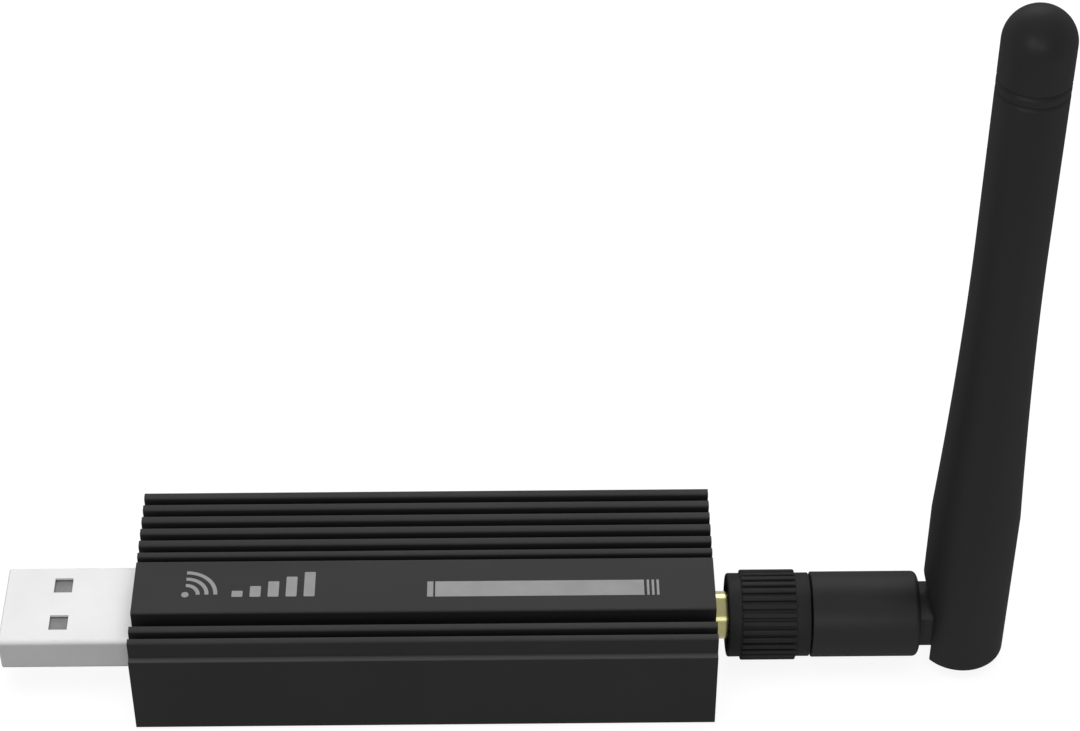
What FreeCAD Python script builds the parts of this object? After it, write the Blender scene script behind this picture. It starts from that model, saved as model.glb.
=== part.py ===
import FreeCAD, Part
import math
import os

# A radio stick for a smart home: a finned metal housing with a USB plug at one end
# and a screw-on antenna that swivels and tilts at the other.
# All sizes are in millimetres. X runs along the stick from the USB end to the antenna,
# Y runs across it, Z is up, and the origin is the centre of the housing's underside.

Vector = FreeCAD.Vector

# Clearances
SLIDE_GAP = 0.10          # between parts that are put together by hand
RUNNING_GAP = 0.05        # round a shaft that turns in its hole
MOVING_GAP = 0.15         # between faces that pass each other

# Housing, one length of extruded metal
HOUSING_LENGTH = 66.35
HOUSING_WIDTH = 25.5
HOUSING_HEIGHT = 13.5
SIDE_STEP = 0.66          # the finned top is this much narrower on each side
STEP_HEIGHT = 11.14       # height of that step above the underside
GROOVE_DEPTH = 2.2
WIDE_GROOVE_DEPTH = 2.4
FIN_COUNT = 6
FIN_WIDTH = 1.04
LAST_FIN_WIDTH = 0.86     # the fin next to the plain flat band
LAST_GROOVE_WIDTH = 0.68  # between that fin and the band
BAND_BACK = 0.80          # the band's back edge in Y
WIDE_GROOVE = 1.88        # in front of the band
FRONT_FIN_WIDTH = 0.97
FRONT_GROOVE_WIDTH = 0.93
CORNER_RIB_WIDTH = 0.89
FIN_ROUND = 0.22
SMALL_ROUND = 0.30        # rounds up to this size get two flat cuts, to keep facets few
BASE_ROUND = 0.40
SIDE_WALL = 2.15
FLOOR_WALL = 1.5
ROOF_WALL = 1.6           # metal left under the deepest groove
CAVITY_ROUND = 0.3

# End plates, let into the housing's mouths
PLATE_THICKNESS = 1.5
PLATE_EDGE = 1.15         # housing wall left round a plate
PLATE_ROUND = 1.0
PLATE_WINDOW_ROUND = 0.3
SCREW_BOSS_RADIUS = 1.9
SCREW_INSET_Y = 3.1       # screw axis from the housing's outer side
SCREW_HEIGHT = 7.8        # screw axis above the underside

# Line of the plug and the antenna
AXIS_Y = -1.3
JACK_HEIGHT = 6.0

# Circuit board
BOARD_THICKNESS = 1.6
BOARD_SLOT_DEPTH = 0.75
BOARD_END_GAP = 0.3

# USB plug, the standard outside size
USB_WIDTH = 12.0
USB_HEIGHT = 4.5
USB_REACH = 15.54         # how far it stands out of the housing
USB_LENGTH = 18.9
USB_WALL = 0.3
USB_CORNER = 0.55
USB_CENTRE_HEIGHT = 6.53
USB_WINDOW_START = 5.55   # from the tip
USB_WINDOW_LENGTH = 2.12
USB_WINDOW_WIDTH = 2.27
USB_WINDOW_OFFSET = 2.94
USB_LIP = 0.45            # the shell's folded lead-in at the tip
USB_TONGUE_SHARE = 0.5    # share of the inner height that the insulator fills
USB_EAR_LENGTH = 1.8
USB_EAR_WIDTH = 1.6
USB_EAR_THICKNESS = 0.3
CONTACT_WIDTH = 1.0
CONTACT_THICKNESS = 0.2
CONTACT_PITCH = 2.5
CONTACT_INNER_PITCH = 2.0
CONTACT_START = 1.4       # from the tip
CONTACT_FOOT = 1.9        # soldered length at the back

# Antenna jack on the board
THREAD_RADIUS = 3.175
JACK_RELIEF_RADIUS = 2.79
JACK_RELIEF_LENGTH = 2.1  # the plain neck outside the housing
JACK_THREAD_LENGTH = 6.4
JACK_FLANGE_SIDE = 6.5
JACK_FLANGE_THICKNESS = 1.6
JACK_FLANGE_CHAMFER = 0.4
JACK_LEG_LENGTH = 3.6
JACK_LEG_SIDE = 0.9
JACK_MOUTH_RADIUS = 2.33
JACK_MOUTH_DEPTH = 1.95
JACK_INSULATOR_RADIUS = 2.05
JACK_CONTACT_RADIUS = 0.635
JACK_TAIL_RADIUS = 0.4
JACK_TAIL_LENGTH = 2.6
PIN_RADIUS = 0.455
PIN_REACH = 2.4
PIN_END_ROOM = 0.6

# Coupling nut
NUT_START = 1.68          # from the housing's end
NUT_LENGTH = 9.53
NUT_RADIUS = 4.855
NUT_INSERT_RADIUS = 4.0
NUT_MOUTH_DEPTH = 1.2
NUT_WALL = 1.0
KNURL_START = 1.67        # from the nut's end
KNURL_LENGTH = 6.19
KNURL_RADIUS = 5.234
KNURL_COUNT = 32
KNURL_GROOVE_WIDTH = 0.34
KNURL_GROOVE_DEPTH = 0.35
THREAD_PITCH = 0.7056

# Plug ferrule inside the nut
NOSE_RADIUS = 2.28
FERRULE_RADIUS = 2.1
FLANGE_RADIUS = 2.95
FLANGE_THICKNESS = 0.4
GASKET_THICKNESS = 0.35
SNAP_RING_THICKNESS = 0.4
SNAP_RING_WIDTH = 0.65
SNAP_RING_GAP = 0.8
RING_GROOVE_DEPTH = 0.25
PLUG_INSULATOR_RADIUS = 1.55
BUSH_RADIUS = 3.5
BUSH_LENGTH = 3.6
COLLAR_RADIUS = 2.7
COLLAR_LENGTH = 0.6

# Swivel base
SWIVEL_GAP = 0.23         # between the nut and the swivel base
SWIVEL_LENGTH = 12.39
SWIVEL_RADIUS = 4.953
SWIVEL_END_BEVEL = 0.55
DISH_FLOOR_RADIUS = 2.4   # floor of the round recess that the whip's corners swing in
SWIVEL_CAVITY_LENGTH = 3.5   # room behind the bush for the collar
TONGUE_RADIUS = 3.72
TONGUE_THICKNESS = 6.1
PIVOT_REACH = 5.407       # from the swivel base's end to the hinge axis
CABLE_RADIUS = 0.9
CABLE_HOLE_RADIUS = 1.15

# Whip
WHIP_FOOT = 4.64          # flat lower end below the hinge axis
WHIP_LENGTH = 90.14       # from the flat end to the tip
WHIP_FOOT_RADIUS = 5.01
WHIP_TIP_RADIUS = 3.825
DOME_STEPS = 3            # straight steps that make up the rounded tip
FLARE_START = 21.3        # heights above the flat end
FLARE_BEND = 44.3
FLARE_END = 60.6
SLOT_STRAIGHT = 1.2       # straight part of the slot's sides above the hinge axis
SLOT_ARCH_HEIGHT = 5.4    # the half ellipse above that
HINGE_ROUND_GAP = 0.25
BOSS_RADIUS = 1.2
BOSS_LENGTH = 1.2
WHIP_BORE_RADIUS = 2.6
WHIP_TIP_WALL = 3.0
RADIATOR_START = 30.0     # above the flat end
RADIATOR_LENGTH = 26.0
RADIATOR_RADIUS = 2.2
RADIATOR_WIRE_RADIUS = 0.45
FOAM_PLUG_LENGTH = 7.5    # above the radiator wire

# Parts on the board: length along X, width along Y, height
RADIO_CHIP = (7.0, 7.0, 0.9)
BRIDGE_CHIP = (4.0, 4.0, 0.8)
CHIP_JOINT_REACH = 0.2
CHIP_JOINT_HEIGHT = 0.15
CHIP_CORNER = 0.4
REGULATOR = (3.0, 1.6, 1.1)
REGULATOR_LEAD_PITCH = 0.95
LEAD_WIDTH = 0.4
LEAD_HEIGHT = 0.25
FILTER_BLOCK = (2.0, 1.25, 0.85)
CRYSTAL = (3.2, 2.5, 0.7)
LED = (1.6, 0.8, 0.6)
CAPACITOR = (1.0, 0.5, 0.5)
RESISTOR = (1.0, 0.5, 0.35)
SMALL_PART_PITCH = 1.6    # between capacitors or resistors in a row
SMALL_PART_INSET = 1.4    # from a chip's edge to the middle of such a row
SWITCH_BASE = (4.2, 3.4, 1.5)
SWITCH_PLUNGER_RADIUS = 0.8
SWITCH_PLUNGER_RISE = 0.7
SWITCH_TRAVEL = 0.25
SWITCH_WELL_FLOOR = 0.5

# Places worked out from the sizes above
HALF_LENGTH = HOUSING_LENGTH / 2
HALF_WIDTH = HOUSING_WIDTH / 2
TOP_HALF_WIDTH = HALF_WIDTH - SIDE_STEP
FIN_PITCH = (TOP_HALF_WIDTH - BAND_BACK - LAST_GROOVE_WIDTH - LAST_FIN_WIDTH) / (FIN_COUNT - 1)
FRONT_FIN_FRONT = -TOP_HALF_WIDTH + CORNER_RIB_WIDTH + FRONT_GROOVE_WIDTH
BAND_FRONT = FRONT_FIN_FRONT + FRONT_FIN_WIDTH + WIDE_GROOVE
LOWEST_GROOVE = HOUSING_HEIGHT - max(GROOVE_DEPTH, WIDE_GROOVE_DEPTH)
CAVITY_HALF_WIDTH = HALF_WIDTH - SIDE_WALL
CAVITY_TOP = LOWEST_GROOVE - ROOF_WALL
PLATE_INNER_X = HALF_LENGTH - PLATE_THICKNESS
PLATE_HALF_WIDTH = HALF_WIDTH - PLATE_EDGE
PLATE_BOTTOM = PLATE_EDGE
PLATE_TOP = LOWEST_GROOVE - PLATE_EDGE
SCREW_Y = HALF_WIDTH - SCREW_INSET_Y
BOARD_TOP = JACK_HEIGHT - JACK_TAIL_RADIUS
BOARD_BOTTOM = BOARD_TOP - BOARD_THICKNESS
USB_TIP_X = -HALF_LENGTH - USB_REACH
USB_BACK_X = USB_TIP_X + USB_LENGTH
BOARD_START_X = -PLATE_INNER_X + BOARD_END_GAP
JACK_FLANGE_X = PLATE_INNER_X - JACK_FLANGE_THICKNESS
BOARD_END_X = JACK_FLANGE_X
JACK_THREAD_X = HALF_LENGTH + JACK_RELIEF_LENGTH
JACK_FRONT_X = JACK_THREAD_X + JACK_THREAD_LENGTH
JACK_SEAT_X = JACK_FRONT_X - JACK_MOUTH_DEPTH
NUT_X = HALF_LENGTH + NUT_START
NUT_END_X = NUT_X + NUT_LENGTH
GASKET_X = JACK_FRONT_X + RUNNING_GAP
FLANGE_X = GASKET_X + GASKET_THICKNESS
NUT_WALL_X = FLANGE_X + FLANGE_THICKNESS + RUNNING_GAP
SNAP_RING_X = NUT_WALL_X + NUT_WALL + RUNNING_GAP
SWIVEL_X = NUT_END_X + SWIVEL_GAP
SWIVEL_END_X = SWIVEL_X + SWIVEL_LENGTH
BUSH_END_X = SWIVEL_X + BUSH_LENGTH
COLLAR_X = BUSH_END_X + RUNNING_GAP
FERRULE_END_X = COLLAR_X + COLLAR_LENGTH
PIVOT_X = SWIVEL_END_X + PIVOT_REACH
FOOT_Z = JACK_HEIGHT - WHIP_FOOT
TIP_Z = FOOT_Z + WHIP_LENGTH
SLOT_HALF_WIDTH = TONGUE_THICKNESS / 2 + MOVING_GAP
HINGE_CAVITY_RADIUS = TONGUE_RADIUS + HINGE_ROUND_GAP
WHIP_CABLE_START_Z = JACK_HEIGHT + CABLE_RADIUS + MOVING_GAP


def box(x0, x1, y0, y1, z0, z1):
    return Part.makeBox(x1 - x0, y1 - y0, z1 - z0, Vector(x0, y0, z0))


def rod_x(radius, x0, x1, y=AXIS_Y, z=JACK_HEIGHT):
    return Part.makeCylinder(radius, x1 - x0, Vector(x0, y, z), Vector(1, 0, 0))


def rod_y(radius, y0, y1, x, z):
    return Part.makeCylinder(radius, y1 - y0, Vector(x, y0, z), Vector(0, 1, 0))


def rod_z(radius, z0, z1, x, y):
    return Part.makeCylinder(radius, z1 - z0, Vector(x, y, z0), Vector(0, 0, 1))


def tube_x(outer, inner, x0, x1, y=AXIS_Y, z=JACK_HEIGHT):
    return rod_x(outer, x0, x1, y, z).cut(rod_x(inner, x0 - 1, x1 + 1, y, z))


def tube_z(outer, inner, z0, z1, x, y):
    return rod_z(outer, z0, z1, x, y).cut(rod_z(inner, z0 - 1, z1 + 1, x, y))


def rounded_wire(corners):
    """Closed outline from (point, radius) corners; a small round is two flat cuts."""
    edges = []
    ends = []
    count = len(corners)
    for index in range(count):
        before = corners[index - 1][0]
        point, radius = corners[index]
        after = corners[(index + 1) % count][0]
        if radius <= 0:
            ends.append((point, point))
            continue
        way_in = (before - point).normalize()
        way_out = (after - point).normalize()
        half_angle = way_in.getAngle(way_out) / 2
        reach = radius / math.tan(half_angle)
        start = point + way_in * reach
        stop = point + way_out * reach
        middle_way = (way_in + way_out).normalize()
        middle = point + middle_way * (radius / math.sin(half_angle) - radius)
        if radius > SMALL_ROUND:
            edges.append(Part.Arc(start, middle, stop).toShape())
        else:
            edges.append(Part.LineSegment(start, middle).toShape())
            edges.append(Part.LineSegment(middle, stop).toShape())
        ends.append((start, stop))
    for index in range(count):
        here = ends[index][1]
        there = ends[(index + 1) % count][0]
        if here.distanceToPoint(there) > 1e-6:
            edges.append(Part.LineSegment(here, there).toShape())
    return Part.Wire(Part.__sortEdges__(edges))


def prism_x(outline, x0, x1):
    """Solid along X from (y, z, radius) corners."""
    corners = [(Vector(x0, y, z), radius) for y, z, radius in outline]
    face = Part.Face(rounded_wire(corners))
    return face.extrude(Vector(x1 - x0, 0, 0))


def rounded_rectangle(y0, y1, z0, z1, radius):
    return [(y0, z0, radius), (y1, z0, radius), (y1, z1, radius), (y0, z1, radius)]


def turned_x(profile, y=AXIS_Y, z=JACK_HEIGHT):
    """Turned solid about the antenna line from (x, radius) points."""
    points = [Vector(x, y, z + radius) for x, radius in profile]
    points.append(points[0])
    face = Part.Face(Part.makePolygon(points))
    return face.revolve(Vector(0, y, z), Vector(1, 0, 0), 360)


def housing_top_outline():
    """Corners of the finned top from the back edge to the front edge."""
    corners = [(TOP_HALF_WIDTH, HOUSING_HEIGHT, FIN_ROUND)]
    grooves = []
    for index in range(FIN_COUNT):
        back = TOP_HALF_WIDTH - index * FIN_PITCH - FIN_WIDTH
        front = TOP_HALF_WIDTH - (index + 1) * FIN_PITCH
        if index == FIN_COUNT - 1:
            back = BAND_BACK + LAST_GROOVE_WIDTH
            front = BAND_BACK
        grooves.append((back, front, GROOVE_DEPTH))
    grooves.append((BAND_FRONT, BAND_FRONT - WIDE_GROOVE, WIDE_GROOVE_DEPTH))
    grooves.append((FRONT_FIN_FRONT, FRONT_FIN_FRONT - FRONT_GROOVE_WIDTH, GROOVE_DEPTH))
    for back, front, depth in grooves:
        corners.append((back, HOUSING_HEIGHT, FIN_ROUND))
        corners.append((back, HOUSING_HEIGHT - depth, 0))
        corners.append((front, HOUSING_HEIGHT - depth, 0))
        corners.append((front, HOUSING_HEIGHT, FIN_ROUND))
    corners.append((-TOP_HALF_WIDTH, HOUSING_HEIGHT, FIN_ROUND))
    return corners


def make_housing():
    outline = [(-HALF_WIDTH, 0, BASE_ROUND), (HALF_WIDTH, 0, BASE_ROUND)]
    outline.append((HALF_WIDTH, STEP_HEIGHT, FIN_ROUND))
    outline.append((TOP_HALF_WIDTH, STEP_HEIGHT, 0))
    outline += housing_top_outline()
    outline.append((-TOP_HALF_WIDTH, STEP_HEIGHT, 0))
    outline.append((-HALF_WIDTH, STEP_HEIGHT, FIN_ROUND))
    body = prism_x(outline, -HALF_LENGTH, HALF_LENGTH)

    cavity = prism_x(
        rounded_rectangle(-CAVITY_HALF_WIDTH, CAVITY_HALF_WIDTH, FLOOR_WALL, CAVITY_TOP, CAVITY_ROUND),
        -HALF_LENGTH, HALF_LENGTH)
    for side in (-1, 1):
        boss = rod_x(SCREW_BOSS_RADIUS, -HALF_LENGTH, HALF_LENGTH, side * SCREW_Y, SCREW_HEIGHT)
        web = box(-HALF_LENGTH, HALF_LENGTH, SCREW_Y, HALF_WIDTH,
                  SCREW_HEIGHT - SCREW_BOSS_RADIUS, HOUSING_HEIGHT)
        stem = box(-HALF_LENGTH, HALF_LENGTH, SCREW_Y - SCREW_BOSS_RADIUS, HALF_WIDTH,
                   SCREW_HEIGHT, HOUSING_HEIGHT)
        corner = web.fuse(stem)
        if side < 0:
            corner = corner.mirror(Vector(0, 0, 0), Vector(0, 1, 0))
        cavity = cavity.cut(boss.fuse(corner))
    slot_half_width = CAVITY_HALF_WIDTH + BOARD_SLOT_DEPTH
    slot = box(-HALF_LENGTH, HALF_LENGTH, -slot_half_width, slot_half_width,
               BOARD_BOTTOM - SLIDE_GAP, BOARD_TOP + SLIDE_GAP)
    body = body.cut(cavity.fuse(slot))

    mouth_outline = rounded_rectangle(-PLATE_HALF_WIDTH, PLATE_HALF_WIDTH,
                                      PLATE_BOTTOM, PLATE_TOP, PLATE_ROUND)
    for x0, x1 in ((-HALF_LENGTH, -PLATE_INNER_X), (PLATE_INNER_X, HALF_LENGTH)):
        body = body.cut(prism_x(mouth_outline, x0, x1))
    return body


def plate_blank(x0, x1):
    outline = rounded_rectangle(-PLATE_HALF_WIDTH + SLIDE_GAP, PLATE_HALF_WIDTH - SLIDE_GAP,
                                PLATE_BOTTOM + SLIDE_GAP, PLATE_TOP - SLIDE_GAP,
                                PLATE_ROUND - SLIDE_GAP)
    return prism_x(outline, x0, x1)


def make_usb_end_plate():
    plate = plate_blank(-HALF_LENGTH, -PLATE_INNER_X)
    window = rounded_rectangle(AXIS_Y - USB_WIDTH / 2 - SLIDE_GAP, AXIS_Y + USB_WIDTH / 2 + SLIDE_GAP,
                               USB_CENTRE_HEIGHT - USB_HEIGHT / 2 - SLIDE_GAP,
                               USB_CENTRE_HEIGHT + USB_HEIGHT / 2 + SLIDE_GAP,
                               PLATE_WINDOW_ROUND)
    return plate.cut(prism_x(window, -HALF_LENGTH, -PLATE_INNER_X))


def make_antenna_end_plate():
    plate = plate_blank(PLATE_INNER_X, HALF_LENGTH)
    return plate.cut(rod_x(JACK_RELIEF_RADIUS + SLIDE_GAP, PLATE_INNER_X, HALF_LENGTH))


def make_circuit_board():
    half_width = CAVITY_HALF_WIDTH + BOARD_SLOT_DEPTH - SLIDE_GAP
    board = box(BOARD_START_X, BOARD_END_X, -half_width, half_width, BOARD_BOTTOM, BOARD_TOP)
    notch_half = USB_WIDTH / 2 + SLIDE_GAP
    notch = box(BOARD_START_X - 1, USB_BACK_X + SLIDE_GAP, AXIS_Y - notch_half, AXIS_Y + notch_half,
                BOARD_BOTTOM, BOARD_TOP)
    return board.cut(notch)


def usb_window_cutters():
    cutters = []
    x0 = USB_TIP_X + USB_WINDOW_START
    for side in (-1, 1):
        middle = AXIS_Y + side * USB_WINDOW_OFFSET
        cutters.append(box(x0, x0 + USB_WINDOW_LENGTH,
                           middle - USB_WINDOW_WIDTH / 2, middle + USB_WINDOW_WIDTH / 2,
                           USB_CENTRE_HEIGHT - USB_HEIGHT, USB_CENTRE_HEIGHT + USB_HEIGHT))
    return cutters


def usb_outline(inset):
    return rounded_rectangle(AXIS_Y - USB_WIDTH / 2 + inset, AXIS_Y + USB_WIDTH / 2 - inset,
                             USB_CENTRE_HEIGHT - USB_HEIGHT / 2 + inset,
                             USB_CENTRE_HEIGHT + USB_HEIGHT / 2 - inset,
                             USB_CORNER - inset)


def make_usb_plug_shell():
    outer = prism_x(usb_outline(0), USB_TIP_X, USB_BACK_X)
    tip_edges = [edge for edge in outer.Edges if edge.BoundBox.XMax < USB_TIP_X + 1e-6]
    outer = outer.makeChamfer(USB_WALL * 0.5, tip_edges)
    shell = outer.cut(prism_x(usb_outline(USB_WALL), USB_TIP_X, USB_BACK_X))
    for cutter in usb_window_cutters():
        shell = shell.cut(cutter)
    for side in (-1, 1):
        inner = AXIS_Y + side * (USB_WIDTH / 2 - USB_WALL / 2)
        outer_y = AXIS_Y + side * (USB_WIDTH / 2 + USB_EAR_WIDTH)
        ear = box(USB_BACK_X - USB_EAR_LENGTH, USB_BACK_X, min(inner, outer_y), max(inner, outer_y),
                  BOARD_TOP, BOARD_TOP + USB_EAR_THICKNESS)
        shell = shell.fuse(ear)
    return shell.removeSplitter()


def usb_tongue_top():
    inner_bottom = USB_CENTRE_HEIGHT - USB_HEIGHT / 2 + USB_WALL
    return inner_bottom + (USB_HEIGHT - 2 * USB_WALL) * USB_TONGUE_SHARE


def contact_centres():
    outer = CONTACT_PITCH + CONTACT_INNER_PITCH / 2
    inner = CONTACT_INNER_PITCH / 2
    return [AXIS_Y - outer, AXIS_Y - inner, AXIS_Y + inner, AXIS_Y + outer]


def contact_cutters(gap):
    top = usb_tongue_top()
    half = CONTACT_WIDTH / 2 + gap
    return [box(USB_TIP_X + CONTACT_START - gap, USB_BACK_X + 1, middle - half, middle + half,
                top - CONTACT_THICKNESS - gap, top + 1) for middle in contact_centres()]


def make_usb_insulator():
    """The plastic block: a low tongue in front and a full plug at the back."""
    inside = usb_outline(USB_WALL)
    block = prism_x(inside, USB_TIP_X + USB_LIP, USB_BACK_X)
    cavity = box(USB_TIP_X, -HALF_LENGTH - SLIDE_GAP, AXIS_Y - USB_WIDTH, AXIS_Y + USB_WIDTH,
                 usb_tongue_top(), USB_CENTRE_HEIGHT + USB_HEIGHT)
    block = block.cut(cavity)
    for cutter in contact_cutters(0):
        cutter_top = usb_tongue_top()
        bounds = cutter.BoundBox
        block = block.cut(box(bounds.XMin, bounds.XMax, bounds.YMin, bounds.YMax,
                              bounds.ZMin, cutter_top))
    return block


def make_usb_contacts():
    """Four strips that lie in the insulator and turn down onto the board at the back."""
    strips = []
    top = usb_tongue_top()
    half = CONTACT_WIDTH / 2
    foot_end = USB_BACK_X + CONTACT_FOOT
    for middle in contact_centres():
        strip = box(USB_TIP_X + CONTACT_START, USB_BACK_X + CONTACT_THICKNESS,
                    middle - half, middle + half, top - CONTACT_THICKNESS, top)
        drop = box(USB_BACK_X, USB_BACK_X + CONTACT_THICKNESS, middle - half, middle + half,
                   BOARD_TOP, top)
        foot = box(USB_BACK_X, foot_end, middle - half, middle + half,
                   BOARD_TOP, BOARD_TOP + CONTACT_THICKNESS)
        strips.append(strip.fuse(drop).fuse(foot).removeSplitter())
    return Part.makeCompound(strips)


def on_board(size, x, y):
    """A block of the given size with its middle at x, y on the board."""
    length, width, height = size
    return box(x - length / 2, x + length / 2, y - width / 2, y + width / 2,
               BOARD_TOP, BOARD_TOP + height)


def chip(size, x, y):
    """Flat chip on a thin row of solder joints, with its pin-one corner cut off."""
    length, width, height = size
    shape = on_board((length, width, height), x, y)
    joints = on_board((length + CHIP_JOINT_REACH * 2, width + CHIP_JOINT_REACH * 2,
                       CHIP_JOINT_HEIGHT), x, y)
    cut = on_board((CHIP_CORNER * 2, CHIP_CORNER * 2, height * 2), 0, 0)
    cut.rotate(Vector(0, 0, 0), Vector(0, 0, 1), 45)
    cut.translate(Vector(x - length / 2, y - width / 2, CHIP_JOINT_HEIGHT))
    return shape.fuse(joints).cut(cut)


def make_radio_chip():
    return chip(RADIO_CHIP, HALF_LENGTH * 0.30, AXIS_Y)


def make_bridge_chip():
    return chip(BRIDGE_CHIP, -HALF_LENGTH * 0.42, AXIS_Y)


def make_regulator():
    x = -HALF_LENGTH * 0.60
    y = CAVITY_HALF_WIDTH * 0.62
    body = on_board(REGULATOR, x, y)
    for side in (-1, 1):
        for step in (-1, 0, 1):
            lead_x = x + step * REGULATOR_LEAD_PITCH
            lead_y = y + side * REGULATOR[1] / 2
            lead = box(lead_x - LEAD_WIDTH / 2, lead_x + LEAD_WIDTH / 2,
                       lead_y - LEAD_WIDTH, lead_y + LEAD_WIDTH, BOARD_TOP, BOARD_TOP + LEAD_HEIGHT)
            body = body.fuse(lead)
    return body


def make_radio_filter():
    x = HALF_LENGTH * 0.55
    return on_board(FILTER_BLOCK, x, AXIS_Y)


def make_crystals():
    """Metal-lidded crystals, one by each chip."""
    cans = []
    for x, y in ((HALF_LENGTH * 0.30, CAVITY_HALF_WIDTH * 0.48),
                 (-HALF_LENGTH * 0.20, CAVITY_HALF_WIDTH * 0.05)):
        length, width, height = CRYSTAL
        base = on_board((length, width, height * 0.55), x, y)
        lid = on_board((length * 0.9, width * 0.88, height), x, y)
        cans.append(base.fuse(lid).removeSplitter())
    return Part.makeCompound(cans)


def make_status_lights():
    lights = []
    for step in (0, 1):
        x = -HALF_LENGTH * 0.72
        y = -CAVITY_HALF_WIDTH * (0.72 - 0.14 * step)
        length, width, height = LED
        base = on_board((length, width, height * 0.4), x, y)
        dome = on_board((length * 0.7, width, height), x, y)
        lights.append(base.fuse(dome).removeSplitter())
    return Part.makeCompound(lights)


def make_capacitors():
    blocks = []
    for index in range(6):
        x = HALF_LENGTH * 0.30 + (index - 2.5) * SMALL_PART_PITCH
        blocks.append(on_board(CAPACITOR, x, AXIS_Y - RADIO_CHIP[1] / 2 - SMALL_PART_INSET))
    for index in range(3):
        x = -HALF_LENGTH * 0.42 + (index - 1) * SMALL_PART_PITCH
        blocks.append(on_board(CAPACITOR, x, AXIS_Y - BRIDGE_CHIP[1] / 2 - SMALL_PART_INSET))
    return Part.makeCompound(blocks)


def make_resistors():
    blocks = []
    for index in range(4):
        x = -HALF_LENGTH * 0.42 + (index - 1.5) * SMALL_PART_PITCH
        blocks.append(on_board(RESISTOR, x, AXIS_Y + BRIDGE_CHIP[1] / 2 + SMALL_PART_INSET))
    for index in range(3):
        x = HALF_LENGTH * 0.05
        y = switch_centre()[1] + SWITCH_BASE[1] / 2 + RESISTOR[1] + index * SMALL_PART_PITCH
        blocks.append(on_board(RESISTOR, x, y))
    return Part.makeCompound(blocks)


def switch_centre():
    return 0.0, -CAVITY_HALF_WIDTH * 0.5


def make_boot_switch_case():
    """Case of the small push switch, with a well that guides its button."""
    x, y = switch_centre()
    length, width, height = SWITCH_BASE
    case = on_board(SWITCH_BASE, x, y)
    well_floor = BOARD_TOP + SWITCH_WELL_FLOOR
    case = case.cut(rod_z(SWITCH_PLUNGER_RADIUS + RUNNING_GAP, well_floor, BOARD_TOP + height + 1, x, y))
    for side in (-1, 1):
        lead = box(x + side * length / 2 - LEAD_WIDTH, x + side * length / 2 + LEAD_WIDTH,
                   y - LEAD_WIDTH, y + LEAD_WIDTH, BOARD_TOP, BOARD_TOP + LEAD_HEIGHT)
        case = case.fuse(lead)
    return case


def make_boot_switch_button():
    x, y = switch_centre()
    bottom = BOARD_TOP + SWITCH_WELL_FLOOR + SWITCH_TRAVEL + RUNNING_GAP
    top = BOARD_TOP + SWITCH_BASE[2] + SWITCH_PLUNGER_RISE
    return rod_z(SWITCH_PLUNGER_RADIUS, bottom, top, x, y)


def make_antenna_jack():
    """Gold-plated jack: flange and four legs on the board, neck and screw thread outside."""
    half = JACK_FLANGE_SIDE / 2
    flange = box(JACK_FLANGE_X, PLATE_INNER_X, AXIS_Y - half, AXIS_Y + half,
                 JACK_HEIGHT - half, JACK_HEIGHT + half)
    flange = flange.makeChamfer(JACK_FLANGE_CHAMFER, [edge for edge in flange.Edges
                                      if edge.BoundBox.XLength > JACK_FLANGE_THICKNESS * 0.9])
    barrel = turned_x([(PLATE_INNER_X, 0), (PLATE_INNER_X, JACK_RELIEF_RADIUS),
                       (JACK_THREAD_X, JACK_RELIEF_RADIUS), (JACK_THREAD_X, THREAD_RADIUS),
                       (JACK_FRONT_X, THREAD_RADIUS), (JACK_FRONT_X, 0)])
    jack = flange.fuse(barrel)
    for side in (-1, 1):
        y = AXIS_Y + side * (half - JACK_LEG_SIDE / 2)
        for z0, z1 in ((BOARD_TOP, BOARD_TOP + JACK_LEG_SIDE),
                       (BOARD_BOTTOM - JACK_LEG_SIDE, BOARD_BOTTOM)):
            leg = box(JACK_FLANGE_X - JACK_LEG_LENGTH, JACK_FLANGE_X + JACK_FLANGE_THICKNESS / 2,
                      y - JACK_LEG_SIDE / 2, y + JACK_LEG_SIDE / 2, z0, z1)
            jack = jack.fuse(leg)
    jack = jack.cut(rod_x(JACK_MOUTH_RADIUS, JACK_SEAT_X, JACK_FRONT_X + 1))
    jack = jack.cut(rod_x(JACK_INSULATOR_RADIUS, JACK_FLANGE_X - 1, JACK_SEAT_X))
    return jack.removeSplitter()


def make_jack_insulator():
    return tube_x(JACK_INSULATOR_RADIUS, JACK_CONTACT_RADIUS, JACK_FLANGE_X, JACK_SEAT_X)


def make_jack_contact():
    """Socket in the jack, with a tail that is soldered to the board."""
    socket = rod_x(JACK_CONTACT_RADIUS, JACK_FLANGE_X, JACK_SEAT_X)
    tail = rod_x(JACK_TAIL_RADIUS, JACK_FLANGE_X - JACK_TAIL_LENGTH, JACK_FLANGE_X)
    contact = socket.fuse(tail)
    hole_depth = PIN_REACH + PIN_END_ROOM
    return contact.cut(rod_x(PIN_RADIUS + RUNNING_GAP, JACK_SEAT_X - hole_depth, JACK_SEAT_X + 1))


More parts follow.
